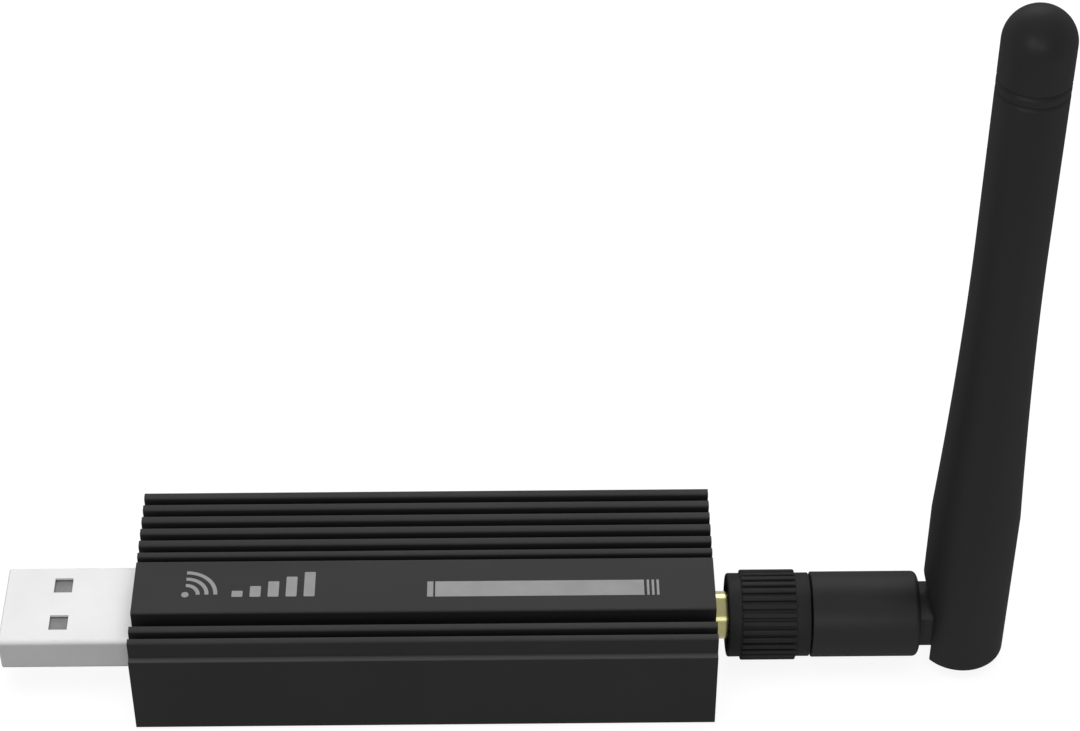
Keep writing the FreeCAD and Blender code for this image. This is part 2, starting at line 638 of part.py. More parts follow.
def make_plug_ferrule():
    """Plug body: nose, flange, neck with a ring groove, and a crimped collar at the back."""
    nose_x = JACK_SEAT_X + RUNNING_GAP
    neck_radius = FERRULE_RADIUS
    groove_radius = FERRULE_RADIUS - RING_GROOVE_DEPTH
    body = turned_x([(nose_x, 0), (nose_x, NOSE_RADIUS),
                     (FLANGE_X, NOSE_RADIUS), (FLANGE_X, FLANGE_RADIUS),
                     (FLANGE_X + FLANGE_THICKNESS, FLANGE_RADIUS),
                     (FLANGE_X + FLANGE_THICKNESS, neck_radius),
                     (SNAP_RING_X, neck_radius), (SNAP_RING_X, groove_radius),
                     (SNAP_RING_X + SNAP_RING_THICKNESS, groove_radius),
                     (SNAP_RING_X + SNAP_RING_THICKNESS, neck_radius),
                     (COLLAR_X, neck_radius), (COLLAR_X, COLLAR_RADIUS),
                     (FERRULE_END_X, COLLAR_RADIUS), (FERRULE_END_X, 0)])
    return body.cut(rod_x(PLUG_INSULATOR_RADIUS, nose_x - 1, FERRULE_END_X + 1))


def make_plug_insulator():
    nose_x = JACK_SEAT_X + RUNNING_GAP
    return tube_x(PLUG_INSULATOR_RADIUS, PIN_RADIUS, nose_x, FERRULE_END_X)


def make_plug_pin():
    return rod_x(PIN_RADIUS, JACK_SEAT_X + RUNNING_GAP - PIN_REACH, FERRULE_END_X)


def make_plug_gasket():
    return tube_x(FLANGE_RADIUS, NOSE_RADIUS, GASKET_X, GASKET_X + GASKET_THICKNESS)


def make_snap_ring():
    """Open spring ring in the ferrule's groove; it draws the plug back with the nut."""
    groove_radius = FERRULE_RADIUS - RING_GROOVE_DEPTH
    ring = tube_x(groove_radius + SNAP_RING_WIDTH, groove_radius, SNAP_RING_X,
                  SNAP_RING_X + SNAP_RING_THICKNESS)
    gap = box(SNAP_RING_X - 1, SNAP_RING_X + 1, AXIS_Y - SNAP_RING_GAP / 2, AXIS_Y + SNAP_RING_GAP / 2,
              JACK_HEIGHT, JACK_HEIGHT + NUT_RADIUS)
    return ring.cut(gap)


def make_nut_insert():
    """Threaded metal insert of the coupling nut."""
    bore = THREAD_RADIUS + RUNNING_GAP
    start = NUT_X + NUT_MOUTH_DEPTH
    wall_end = NUT_WALL_X + NUT_WALL
    hole = FERRULE_RADIUS + RUNNING_GAP
    flange_room = FLANGE_RADIUS + SLIDE_GAP
    bore = max(bore, flange_room)
    return turned_x([(start, bore), (start, NUT_INSERT_RADIUS), (wall_end, NUT_INSERT_RADIUS),
                     (wall_end, hole), (NUT_WALL_X, hole), (NUT_WALL_X, bore)])


def knurl_outline():
    """Points of a gear-like outline: a flat land and a V groove for each tooth."""
    points = []
    pitch = 2 * math.pi / KNURL_COUNT
    land = pitch / 2 - KNURL_GROOVE_WIDTH / KNURL_RADIUS / 2
    for index in range(KNURL_COUNT):
        for turn, radius in ((-land, KNURL_RADIUS), (land, KNURL_RADIUS),
                             (pitch / 2, KNURL_RADIUS - KNURL_GROOVE_DEPTH)):
            angle = index * pitch + turn
            points.append((radius * math.cos(angle), radius * math.sin(angle)))
    return points


def make_thumb_sleeve():
    """Knurled plastic sleeve that is pressed over the nut insert."""
    ring_room = FERRULE_RADIUS - RING_GROOVE_DEPTH + SNAP_RING_WIDTH + SLIDE_GAP
    insert_end = NUT_WALL_X + NUT_WALL
    knurl_x = NUT_X + KNURL_START
    knurl = prism_x([(AXIS_Y + y, JACK_HEIGHT + z, 0) for y, z in knurl_outline()],
                    knurl_x, knurl_x + KNURL_LENGTH)
    barrel = rod_x(NUT_RADIUS, NUT_X, NUT_END_X)
    hollow = turned_x([(NUT_X, 0), (NUT_X, NUT_INSERT_RADIUS), (insert_end, NUT_INSERT_RADIUS),
                       (insert_end, ring_room), (NUT_END_X, ring_room), (NUT_END_X, 0)])
    return barrel.fuse(knurl).cut(hollow)


def make_swivel_bush():
    """Brass bush that turns on the ferrule and is pressed into the swivel base."""
    return tube_x(BUSH_RADIUS, FERRULE_RADIUS + RUNNING_GAP, SWIVEL_X, BUSH_END_X)


def dish_radius():
    """Reach of the whip's lower corners from the hinge's centre, plus clearance."""
    return math.hypot(WHIP_FOOT_RADIUS, WHIP_FOOT) + MOVING_GAP


def make_swivel_base():
    """Round base with a flat-sided tongue that carries the whip's hinge."""
    body = turned_x([(SWIVEL_X, 0), (SWIVEL_X, SWIVEL_RADIUS),
                     (SWIVEL_END_X - SWIVEL_END_BEVEL, SWIVEL_RADIUS),
                     (SWIVEL_END_X, SWIVEL_RADIUS - SWIVEL_END_BEVEL), (SWIVEL_END_X, 0)])
    dish_rim = math.sqrt(dish_radius() ** 2 - PIVOT_REACH ** 2) + SLIDE_GAP
    dish_depth = dish_radius() - PIVOT_REACH
    body = body.cut(Part.makeCone(DISH_FLOOR_RADIUS, dish_rim, dish_depth,
                                  Vector(SWIVEL_END_X - dish_depth, AXIS_Y, JACK_HEIGHT),
                                  Vector(1, 0, 0)))

    half_tongue = TONGUE_THICKNESS / 2
    neck = rod_x(TONGUE_RADIUS, SWIVEL_END_X - dish_depth - SWIVEL_END_BEVEL, PIVOT_X)
    slab = box(SWIVEL_X, PIVOT_X, AXIS_Y - half_tongue, AXIS_Y + half_tongue,
               JACK_HEIGHT - TONGUE_RADIUS, JACK_HEIGHT + TONGUE_RADIUS)
    knuckle = rod_y(TONGUE_RADIUS, AXIS_Y - half_tongue, AXIS_Y + half_tongue, PIVOT_X, JACK_HEIGHT)
    body = body.fuse([neck.common(slab), knuckle])

    body = body.cut(rod_x(BUSH_RADIUS, SWIVEL_X - 1, BUSH_END_X + SWIVEL_CAVITY_LENGTH))
    body = body.cut(rod_x(CABLE_HOLE_RADIUS, BUSH_END_X, PIVOT_X))
    gutter = box(PIVOT_X - CABLE_HOLE_RADIUS, PIVOT_X + TONGUE_RADIUS * 2,
                 AXIS_Y - CABLE_HOLE_RADIUS, AXIS_Y + CABLE_HOLE_RADIUS,
                 JACK_HEIGHT - CABLE_HOLE_RADIUS, JACK_HEIGHT + TONGUE_RADIUS * 2)
    body = body.cut(gutter)
    outer = TONGUE_THICKNESS / 2
    inner = SLOT_HALF_WIDTH - BOSS_LENGTH - MOVING_GAP
    for side in (-1, 1):
        y0 = AXIS_Y + min(side * inner, side * outer * 2)
        y1 = AXIS_Y + max(side * inner, side * outer * 2)
        body = body.cut(rod_y(BOSS_RADIUS + RUNNING_GAP, y0, y1, PIVOT_X, JACK_HEIGHT))
    return body.removeSplitter()


def make_feed_cable():
    """Thin coaxial lead from the ferrule to the hinge axis."""
    return rod_x(CABLE_RADIUS, FERRULE_END_X, PIVOT_X)


def flare_edge(radius_offset=0.0):
    """Curve of the whip's side from its wide foot to its slim top."""
    foot = Vector(PIVOT_X + WHIP_FOOT_RADIUS + radius_offset, AXIS_Y, FOOT_Z + FLARE_START)
    bend = Vector(PIVOT_X + WHIP_TIP_RADIUS + radius_offset, AXIS_Y, FOOT_Z + FLARE_BEND)
    top = Vector(PIVOT_X + WHIP_TIP_RADIUS + radius_offset, AXIS_Y, FOOT_Z + FLARE_END)
    curve = Part.BezierCurve()
    curve.setPoles([foot, bend, top])
    return curve.toShape(), foot, top


def whip_outer():
    axis_foot = Vector(PIVOT_X, AXIS_Y, FOOT_Z)
    outer_foot = Vector(PIVOT_X + WHIP_FOOT_RADIUS, AXIS_Y, FOOT_Z)
    flare, flare_foot, flare_top = flare_edge()
    dome_z = TIP_Z - WHIP_TIP_RADIUS
    shoulder = Vector(PIVOT_X + WHIP_TIP_RADIUS, AXIS_Y, dome_z)
    dome = [shoulder]
    for step in range(1, DOME_STEPS):
        angle = math.radians(90 * step / DOME_STEPS)
        dome.append(Vector(PIVOT_X + WHIP_TIP_RADIUS * math.cos(angle), AXIS_Y,
                           dome_z + WHIP_TIP_RADIUS * math.sin(angle)))
    tip = Vector(PIVOT_X, AXIS_Y, TIP_Z)
    dome.append(tip)
    edges = [Part.LineSegment(axis_foot, outer_foot).toShape(),
             Part.LineSegment(outer_foot, flare_foot).toShape(),
             flare,
             Part.LineSegment(flare_top, shoulder).toShape(),
             Part.LineSegment(tip, axis_foot).toShape()]
    for lower, upper in zip(dome, dome[1:]):
        edges.append(Part.LineSegment(lower, upper).toShape())
    face = Part.Face(Part.Wire(Part.__sortEdges__(edges)))
    return face.revolve(axis_foot, Vector(0, 0, 1), 360)


def slot_cutter():
    """Slot for the tongue: open towards the nut and downwards, with an arched top."""
    x0 = PIVOT_X - WHIP_FOOT_RADIUS * 1.5
    arch_centre = Vector(x0, AXIS_Y, JACK_HEIGHT + SLOT_STRAIGHT)
    if SLOT_ARCH_HEIGHT > SLOT_HALF_WIDTH:
        arch = Part.Ellipse(arch_centre + Vector(0, 0, SLOT_ARCH_HEIGHT),
                            arch_centre + Vector(0, SLOT_HALF_WIDTH, 0), arch_centre)
    else:
        arch = Part.Circle(arch_centre, Vector(1, 0, 0), SLOT_HALF_WIDTH)
    arch_face = Part.Face(Part.Wire(arch.toShape()))
    arch_hole = arch_face.extrude(Vector(PIVOT_X - x0, 0, 0))
    below = box(x0, PIVOT_X, AXIS_Y - SLOT_HALF_WIDTH, AXIS_Y + SLOT_HALF_WIDTH,
                FOOT_Z - 1, JACK_HEIGHT + SLOT_STRAIGHT)
    room = rod_y(HINGE_CAVITY_RADIUS, AXIS_Y - SLOT_HALF_WIDTH, AXIS_Y + SLOT_HALF_WIDTH,
                 PIVOT_X, JACK_HEIGHT)
    mouth = box(PIVOT_X, PIVOT_X + HINGE_CAVITY_RADIUS, AXIS_Y - SLOT_HALF_WIDTH,
                AXIS_Y + SLOT_HALF_WIDTH, FOOT_Z - 1, JACK_HEIGHT)
    return arch_hole.fuse([below, room, mouth])


def make_whip_cover():
    """Rubber cover of the whip, with two cheeks at its foot that clip onto the tongue."""
    cover = whip_outer()
    bore_top = TIP_Z - WHIP_TIP_WALL
    cover = cover.cut(rod_z(WHIP_BORE_RADIUS, JACK_HEIGHT, bore_top, PIVOT_X, AXIS_Y))
    cover = cover.cut(slot_cutter())
    for side in (-1, 1):
        inner = SLOT_HALF_WIDTH - BOSS_LENGTH
        outer = SLOT_HALF_WIDTH + 0.5
        y0 = AXIS_Y + min(side * inner, side * outer)
        y1 = AXIS_Y + max(side * inner, side * outer)
        cover = cover.fuse(rod_y(BOSS_RADIUS, y0, y1, PIVOT_X, JACK_HEIGHT))
    return cover


def whip_cable_top():
    return FOOT_Z + RADIATOR_START + RADIATOR_LENGTH


def make_whip_cable():
    """Lead inside the whip, from just clear of the feed cable."""
    return rod_z(CABLE_RADIUS, WHIP_CABLE_START_Z, whip_cable_top(), PIVOT_X, AXIS_Y)


def make_radiator_tube():
    """Brass sleeve on the lead, one half of the radiator."""
    return tube_z(RADIATOR_RADIUS, CABLE_RADIUS, FOOT_Z + RADIATOR_START, whip_cable_top(),
                  PIVOT_X, AXIS_Y)


def radiator_wire_top():
    return TIP_Z - WHIP_TIP_WALL - FOAM_PLUG_LENGTH


def make_radiator_wire():
    return rod_z(RADIATOR_WIRE_RADIUS, whip_cable_top(), radiator_wire_top(), PIVOT_X, AXIS_Y)


def make_foam_plug():
    """Foam plug in the top of the bore, which keeps the wire from sliding up."""
    return rod_z(WHIP_BORE_RADIUS, radiator_wire_top(), TIP_Z - WHIP_TIP_WALL, PIVOT_X, AXIS_Y)


PIECES = {
    "housing": make_housing,
    "usb_end_plate": make_usb_end_plate,
    "antenna_end_plate": make_antenna_end_plate,
    "circuit_board": make_circuit_board,
    "usb_plug_shell": make_usb_plug_shell,
    "usb_insulator": make_usb_insulator,
    "usb_contacts": make_usb_contacts,
    "radio_chip": make_radio_chip,
    "bridge_chip": make_bridge_chip,
    "voltage_regulator": make_regulator,
    "radio_filter": make_radio_filter,
    "crystals": make_crystals,
    "status_lights": make_status_lights,
    "capacitors": make_capacitors,
    "resistors": make_resistors,
    "boot_switch_case": make_boot_switch_case,
    "boot_switch_button": make_boot_switch_button,
    "antenna_jack": make_antenna_jack,
    "jack_insulator": make_jack_insulator,
    "jack_contact": make_jack_contact,
    "plug_ferrule": make_plug_ferrule,
    "plug_insulator": make_plug_insulator,
    "plug_pin": make_plug_pin,
    "plug_gasket": make_plug_gasket,
    "snap_ring": make_snap_ring,
    "nut_insert": make_nut_insert,
    "thumb_sleeve": make_thumb_sleeve,
    "swivel_bush": make_swivel_bush,
    "swivel_base": make_swivel_base,
    "feed_cable": make_feed_cable,
    "whip_cover": make_whip_cover,
    "whip_cable": make_whip_cable,
    "radiator_tube": make_radiator_tube,
    "radiator_wire": make_radiator_wire,
    "foam_plug": make_foam_plug,
}

os.makedirs("parts", exist_ok=True)
for name, make in PIECES.items():
    shape = make()
    if shape.ShapeType == "Compound" and len(shape.Solids) == 1:
        shape = shape.Solids[0]
    shape.exportStep("parts/" + name + ".step")
    print(name, "solids", len(shape.Solids), "volume", round(shape.Volume, 2), "valid", shape.isValid())
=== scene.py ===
# %% [markdown]
# # A USB radio stick with a tilting antenna
# This lesson dresses a small radio stick for a smart home. It has a finned black metal housing with
# a USB plug at one end. At the other end a rubber antenna is screwed on, and it swivels and tilts.
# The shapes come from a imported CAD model, and this file adds the finishes and the fine pieces that
# a CAD model leaves out, such as print, screw heads, knurling and a screw thread.

import math

import bmesh
import bpy
from mathutils import Matrix, Vector
from mathutils.geometry import interpolate_bezier


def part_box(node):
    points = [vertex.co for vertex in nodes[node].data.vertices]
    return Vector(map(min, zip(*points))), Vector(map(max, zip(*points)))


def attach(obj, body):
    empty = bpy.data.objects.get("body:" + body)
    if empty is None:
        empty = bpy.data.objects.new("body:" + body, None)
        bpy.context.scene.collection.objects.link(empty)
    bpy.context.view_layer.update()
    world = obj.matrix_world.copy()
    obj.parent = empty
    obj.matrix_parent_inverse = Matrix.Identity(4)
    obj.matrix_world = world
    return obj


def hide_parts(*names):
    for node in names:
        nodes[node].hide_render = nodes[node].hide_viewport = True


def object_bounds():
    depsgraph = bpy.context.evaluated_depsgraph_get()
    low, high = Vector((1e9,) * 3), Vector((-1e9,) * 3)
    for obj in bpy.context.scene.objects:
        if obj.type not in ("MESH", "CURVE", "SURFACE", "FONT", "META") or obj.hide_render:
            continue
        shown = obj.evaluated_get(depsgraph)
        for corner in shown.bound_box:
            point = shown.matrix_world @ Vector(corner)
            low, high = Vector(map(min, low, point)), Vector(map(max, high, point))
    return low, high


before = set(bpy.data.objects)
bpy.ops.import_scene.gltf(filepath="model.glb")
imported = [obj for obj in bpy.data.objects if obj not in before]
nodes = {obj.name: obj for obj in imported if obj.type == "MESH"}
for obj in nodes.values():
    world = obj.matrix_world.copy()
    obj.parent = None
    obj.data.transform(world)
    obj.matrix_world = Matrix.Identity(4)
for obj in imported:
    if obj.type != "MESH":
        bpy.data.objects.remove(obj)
cad_low, cad_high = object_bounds()
scene = bpy.context.scene
print("CAD box in mm", [round(value * 1000, 2) for value in (*cad_low, *cad_high)])

# %% [markdown]
# ## The camera
# A photograph has one viewpoint, and a render only matches it if the camera stands there too. The
# long lens here was worked out from the straight edges of the housing and from the upright whip.
# Its focal length in pixels turns into millimetres on a 36 mm sensor. The camera looks down at the
# stick from the front, and a little to the right.

# %% Stand the camera where the photograph was taken
PHOTO_WIDTH = 1080
FOCAL_PIXELS = 3033.32
CAMERA_PLACE = Vector((0.010428, -0.243890, 0.263775))
LOOKS_DOWN = math.radians(42.0098)
TURNS = math.radians(-0.66235)

camera_data = bpy.data.cameras.new("photo_camera")
camera_data.sensor_width = 36
camera_data.lens = FOCAL_PIXELS / PHOTO_WIDTH * camera_data.sensor_width
camera_data.clip_start = 0.01
camera_data.clip_end = 20
camera = bpy.data.objects.new("photo_camera", camera_data)
scene.collection.objects.link(camera)
camera.matrix_world = (Matrix.Translation(CAMERA_PLACE)
                       @ Matrix.Rotation(TURNS, 4, "Z")
                       @ Matrix.Rotation(math.pi / 2 - LOOKS_DOWN, 4, "X"))
scene.camera = camera
scene.view_settings.view_transform = "Standard"
print("lens", round(camera_data.lens, 2), "mm")

# %% [markdown]
# ## Light
# Black objects are hard to light: almost all that the eye reads on them is reflection. So one very
# large soft lamp hangs above and lights every top face evenly, and it is hidden from reflections,
# or it would grey the flat tops. Three small soft lamps draw the shapes instead: one behind gives
# the round parts a bright upper rim, and two in front put a soft streak on the antenna and on the
# gold jack. The sky adds a little light from all round. Together they make a plain level, at which
# a colour renders about as it is written.

# %% Hang the lamps
SKY_LEVEL = 0.08


def hang_lamp(name, place, aim, size, level, mirrored=True):
    """Square soft lamp; level is its share of the light on a sheet of paper at aim.

    With mirrored off, shiny surfaces are lit by the lamp but don't show its picture."""
    place = Vector(place)
    way = Vector(aim) - place
    data = bpy.data.lights.new(name, "AREA")
    data.shape = "SQUARE"
    data.size = size
    facing = abs(way.normalized().z)
    data.energy = level * math.pi ** 2 * way.length_squared / facing
    lamp = bpy.data.objects.new(name, data)
    lamp.visible_glossy = mirrored
    scene.collection.objects.link(lamp)
    turn = way.to_track_quat("-Z", "Y").to_matrix().to_4x4()
    lamp.matrix_world = Matrix.Translation(place) @ turn
    print(name, round(data.energy, 2), "W")


hang_lamp("top_softbox", (0.02, -0.03, 0.80), (0, 0, 0), 0.7, 0.78, mirrored=False)
hang_lamp("back_softbox", (0.07, 0.60, 0.34), (0.02, 0, 0), 0.34, 0.16)
hang_lamp("left_softbox", (-0.24, -0.44, 0.33), (0.03, 0, 0.03), 0.26, 0.080)
hang_lamp("right_softbox", (0.05, -0.52, 0.27), (0.03, 0, 0.03), 0.17, 0.032)

# %% Helpers for shader nodes


def add_node(tree, kind, values=(), **options):
    """New node; options are its own settings, and values are set on its sockets."""
    node = tree.nodes.new(kind)
    for option, value in options.items():
        setattr(node, option, value)
    for socket, value in dict(values).items():
        node.inputs[socket].default_value = value
    return node


def add_math(tree, operation, *values):
    """Output of a math node; each value is a number or another node's output."""
    node = add_node(tree, "ShaderNodeMath", operation=operation)
    for socket, value in zip(node.inputs, values):
        if isinstance(value, (int, float)):
            socket.default_value = value
        else:
            tree.links.new(value, socket)
    return node.outputs[0]


def seen_directly(tree):
    """One for rays from the camera, a reflection or a clear piece, and zero for the rest."""
    rays = tree.nodes.new("ShaderNodeLightPath")
    seen = rays.outputs["Is Camera Ray"]
    for kind in ("Is Glossy Ray", "Is Transmission Ray"):
        seen = add_math(tree, "MAXIMUM", seen, rays.outputs[kind])
    return seen


# %% Give the sky its light, and a white look behind the object
WHITE = (1, 1, 1, 1)

world = bpy.data.worlds.new("studio")
scene.world = world
world.use_nodes = True
tree = world.node_tree
tree.nodes.clear()
lit = add_node(tree, "ShaderNodeBackground", {"Color": WHITE, "Strength": SKY_LEVEL})
white = add_node(tree, "ShaderNodeBackground", {"Color": WHITE, "Strength": 1.0})
choose = tree.nodes.new("ShaderNodeMixShader")
result = tree.nodes.new("ShaderNodeOutputWorld")
tree.links.new(seen_directly(tree), choose.inputs["Fac"])
tree.links.new(lit.outputs[0], choose.inputs[1])
tree.links.new(white.outputs[0], choose.inputs[2])
tree.links.new(choose.outputs[0], result.inputs["Surface"])
print("sky level", SKY_LEVEL)

# %% [markdown]
# ## The table
# The photograph's ground is pure white. A white floor under a plain level of light comes out a
# little grey, and turning the lamps up would bleach the plug. So the paper is a mid grey, and a
# strong glow lifts it to white for the rays that come from the camera or from a reflection. The
# grey still takes a faint shadow. Seen from below, the floor is clear and never hides the object.

# %% Lay the table
FLOOR_COLOUR = 0.16
FLOOR_GLOW = 0.90
FLOOR_SIZE = 3.0
FLOOR_DROP = 0.00005

floor_form = bmesh.new()
bmesh.ops.create_grid(floor_form, x_segments=1, y_segments=1, size=FLOOR_SIZE,
                      matrix=Matrix.Translation((0, 0, cad_low.z - FLOOR_DROP)))
floor_mesh = bpy.data.meshes.new("table")
floor_form.to_mesh(floor_mesh)
floor_form.free()
table = bpy.data.objects.new("table", floor_mesh)
scene.collection.objects.link(table)

# %% Give the table its paper
table_finish = bpy.data.materials.new("table_paper")
table_finish.use_nodes = True
tree = table_finish.node_tree
tree.nodes.clear()
paper = add_node(tree, "ShaderNodeBsdfPrincipled", {
    "Base Color": (FLOOR_COLOUR, FLOOR_COLOUR, FLOOR_COLOUR, 1), "Roughness": 1.0,
    "Specular IOR Level": 0.0, "Emission Color": WHITE})
under = tree.nodes.new("ShaderNodeNewGeometry")
clear = tree.nodes.new("ShaderNodeBsdfTransparent")
sides = tree.nodes.new("ShaderNodeMixShader")
result = tree.nodes.new("ShaderNodeOutputMaterial")
glow = add_math(tree, "MULTIPLY", seen_directly(tree), FLOOR_GLOW)
tree.links.new(glow, paper.inputs["Emission Strength"])
tree.links.new(under.outputs["Backfacing"], sides.inputs["Fac"])
tree.links.new(paper.outputs[0], sides.inputs[1])
tree.links.new(clear.outputs[0], sides.inputs[2])
tree.links.new(sides.outputs[0], result.inputs["Surface"])
table.data.materials.append(table_finish)
print("table at z", round(cad_low.z * 1000, 3), "mm")

# %% [markdown]
# ## Effects that several finishes share
# Real black plastic, black metal and bright nickel all show small changes over their surface: a
# grain that a thumb can feel, cloudy patches where the finish took unevenly, and edges that catch
# on things and wear, whose lighter colour also serves as a painted highlight. Each effect is a node
# group, built once. A finish then sets its own scale. Two more groups find places on the housing:
# the deep grooves, which get painted shade, and the ledge along each side, which gets painted light.

# %% A group for grain and clouds


def new_group(name, takes, gives):
    """Empty shader group with number inputs and outputs; a Vector input carries the place."""
    group = bpy.data.node_groups.new(name, "ShaderNodeTree")
    group.interface.new_socket("Vector", in_out="INPUT", socket_type="NodeSocketVector")
    for socket, value in takes:
        made = group.interface.new_socket(socket, in_out="INPUT", socket_type="NodeSocketFloat")
        made.default_value = value
    for socket in gives:
        group.interface.new_socket(socket, in_out="OUTPUT", socket_type="NodeSocketFloat")
    start = group.nodes.new("NodeGroupInput")
    end = group.nodes.new("NodeGroupOutput")
    return group, start, end


grain_group, start, end = new_group("grain_and_clouds", [("Grain", 4000.0), ("Clouds", 90.0)],
                                    ["Grain", "Clouds"])
for name, detail, rough in (("Grain", 3.0, 0.6), ("Clouds", 4.0, 0.55)):
    noise = add_node(grain_group, "ShaderNodeTexNoise", {"Detail": detail, "Roughness": rough})
    grain_group.links.new(start.outputs["Vector"], noise.inputs["Vector"])
    grain_group.links.new(start.outputs[name], noise.inputs["Scale"])
    grain_group.links.new(noise.outputs["Fac"], end.inputs[name])

# %% A group for the long lines that a die leaves on an extrusion
ALONG_THE_DIE = (0.006, 1.0, 1.0)

lines_group, start, end = new_group("drawn_lines", [("Lines", 2500.0)], ["Lines"])
stretch = add_node(lines_group, "ShaderNodeVectorMath", {1: ALONG_THE_DIE}, operation="MULTIPLY")
drawn = add_node(lines_group, "ShaderNodeTexNoise", {"Detail": 4.0, "Roughness": 0.65})
lines_group.links.new(start.outputs["Vector"], stretch.inputs[0])
lines_group.links.new(stretch.outputs[0], drawn.inputs["Vector"])
lines_group.links.new(start.outputs["Lines"], drawn.inputs["Scale"])
lines_group.links.new(drawn.outputs["Fac"], end.inputs["Lines"])

# %% A group that finds the edges that wear, which also get a painted highlight
# Edges found here are coloured lighter, partly as real wear and partly as a painted highlight.
edge_wear_and_highlight_group, start, end = new_group("edge_wear_and_painted_highlight", [("Width", 0.00015), ("Patches", 900.0)], ["WearAndHighlight"])
softened = add_node(edge_wear_and_highlight_group, "ShaderNodeBevel", samples=6)
surface = edge_wear_and_highlight_group.nodes.new("ShaderNodeNewGeometry")
agree = add_node(edge_wear_and_highlight_group, "ShaderNodeVectorMath", operation="DOT_PRODUCT")
turn = add_node(edge_wear_and_highlight_group, "ShaderNodeMapRange", {"From Min": 0.995, "From Max": 0.80})
patches = add_node(edge_wear_and_highlight_group, "ShaderNodeTexNoise", {"Detail": 3.0})
some = add_node(edge_wear_and_highlight_group, "ShaderNodeMapRange", {"From Min": 0.35, "From Max": 0.70})
edge_wear_and_highlight_group.links.new(start.outputs["Width"], softened.inputs["Radius"])
edge_wear_and_highlight_group.links.new(softened.outputs["Normal"], agree.inputs[0])
edge_wear_and_highlight_group.links.new(surface.outputs["Normal"], agree.inputs[1])
edge_wear_and_highlight_group.links.new(agree.outputs["Value"], turn.inputs["Value"])
edge_wear_and_highlight_group.links.new(start.outputs["Vector"], patches.inputs["Vector"])
edge_wear_and_highlight_group.links.new(start.outputs["Patches"], patches.inputs["Scale"])
edge_wear_and_highlight_group.links.new(patches.outputs["Fac"], some.inputs["Value"])
both = add_math(edge_wear_and_highlight_group, "MULTIPLY", turn.outputs["Result"], some.outputs["Result"])
edge_wear_and_highlight_group.links.new(both, end.inputs["WearAndHighlight"])

# %% A group that finds the grooves between the ribs, where the housing gets painted shade
SHADE_STARTS = 0.01347
SHADE_IS_FULL = 0.01315
GROOVES_SIDE = 0.0119
GROOVES_FLOOR = 0.005

# Painted shade: this mask darkens the housing in the grooves between its ribs.
painted_groove_group, start, end = new_group("painted_shade_in_grooves", [], ["GrooveShade"])
apart = painted_groove_group.nodes.new("ShaderNodeSeparateXYZ")
painted_groove_group.links.new(start.outputs["Vector"], apart.inputs["Vector"])
below = add_node(painted_groove_group, "ShaderNodeMapRange",
                 {"From Min": SHADE_STARTS, "From Max": SHADE_IS_FULL})
painted_groove_group.links.new(apart.outputs["Z"], below.inputs["Value"])
aside = add_math(painted_groove_group, "ABSOLUTE", apart.outputs["Y"])
inside = add_math(painted_groove_group, "LESS_THAN", aside, GROOVES_SIDE)
above = add_math(painted_groove_group, "GREATER_THAN", apart.outputs["Z"], GROOVES_FLOOR)
within = add_math(painted_groove_group, "MULTIPLY", inside, above)
painted_spot = add_math(painted_groove_group, "MULTIPLY", within, below.outputs["Result"])
painted_groove_group.links.new(painted_spot, end.inputs["GrooveShade"])

# %% A group that finds the narrow ledge along each side, where the housing gets painted light
LEDGE_HEIGHT = 0.01114
LEDGE_REACH = 0.00008
LEDGE_SIDE = 0.01205

# Painted light: this mask lightens the ledge along each side, which would otherwise sit in shade.
painted_ledge_group, start, end = new_group("painted_light_on_ledge", [], ["LedgeLight"])
apart = painted_ledge_group.nodes.new("ShaderNodeSeparateXYZ")
painted_ledge_group.links.new(start.outputs["Vector"], apart.inputs["Vector"])
level = add_math(painted_ledge_group, "COMPARE", apart.outputs["Z"], LEDGE_HEIGHT, LEDGE_REACH)
aside = add_math(painted_ledge_group, "ABSOLUTE", apart.outputs["Y"])
outside = add_math(painted_ledge_group, "GREATER_THAN", aside, LEDGE_SIDE)
painted_spot = add_math(painted_ledge_group, "MULTIPLY", level, outside)
painted_ledge_group.links.new(painted_spot, end.inputs["LedgeLight"])
print("groups", [group.name for group in bpy.data.node_groups])

# %% [markdown]
# ## Finishes
# Every finish starts in the same way. The grain drives the roughness and a very low bump, and the
# clouds drift between two close shades. A finish may also take drawn lines, edges lightened partly
# by wear and partly as a painted highlight, or painted shade and painted light in some places. The
# constants, such as how metallic it is, are set on the shader itself.

# %% Steps that finishes share


def colour(value):
    """A grey from one number, or a colour from three."""
    if isinstance(value, (int, float)):
        value = (value, value, value)
    return (*value, 1.0)


def use_group(tree, group, place, values=()):
    """Node that uses a group, with the place linked to it."""
    node = add_node(tree, "ShaderNodeGroup", values, node_tree=group)
    tree.links.new(place, node.inputs["Vector"])
    return node


def cover(tree, share, under, shade):
    """Output of a colour mix in which a shade covers its share of the colour under it."""
    mix = add_node(tree, "ShaderNodeMix", {"B": colour(shade)}, data_type="RGBA")
    tree.links.new(share, mix.inputs["Factor"])
    tree.links.new(under, mix.inputs["A"])
    return mix.outputs["Result"]


# %% A recipe for a finish
NOISE_RANGE = {"From Min": 0.3, "From Max": 0.7}
HAZE_BLEND = 0.55


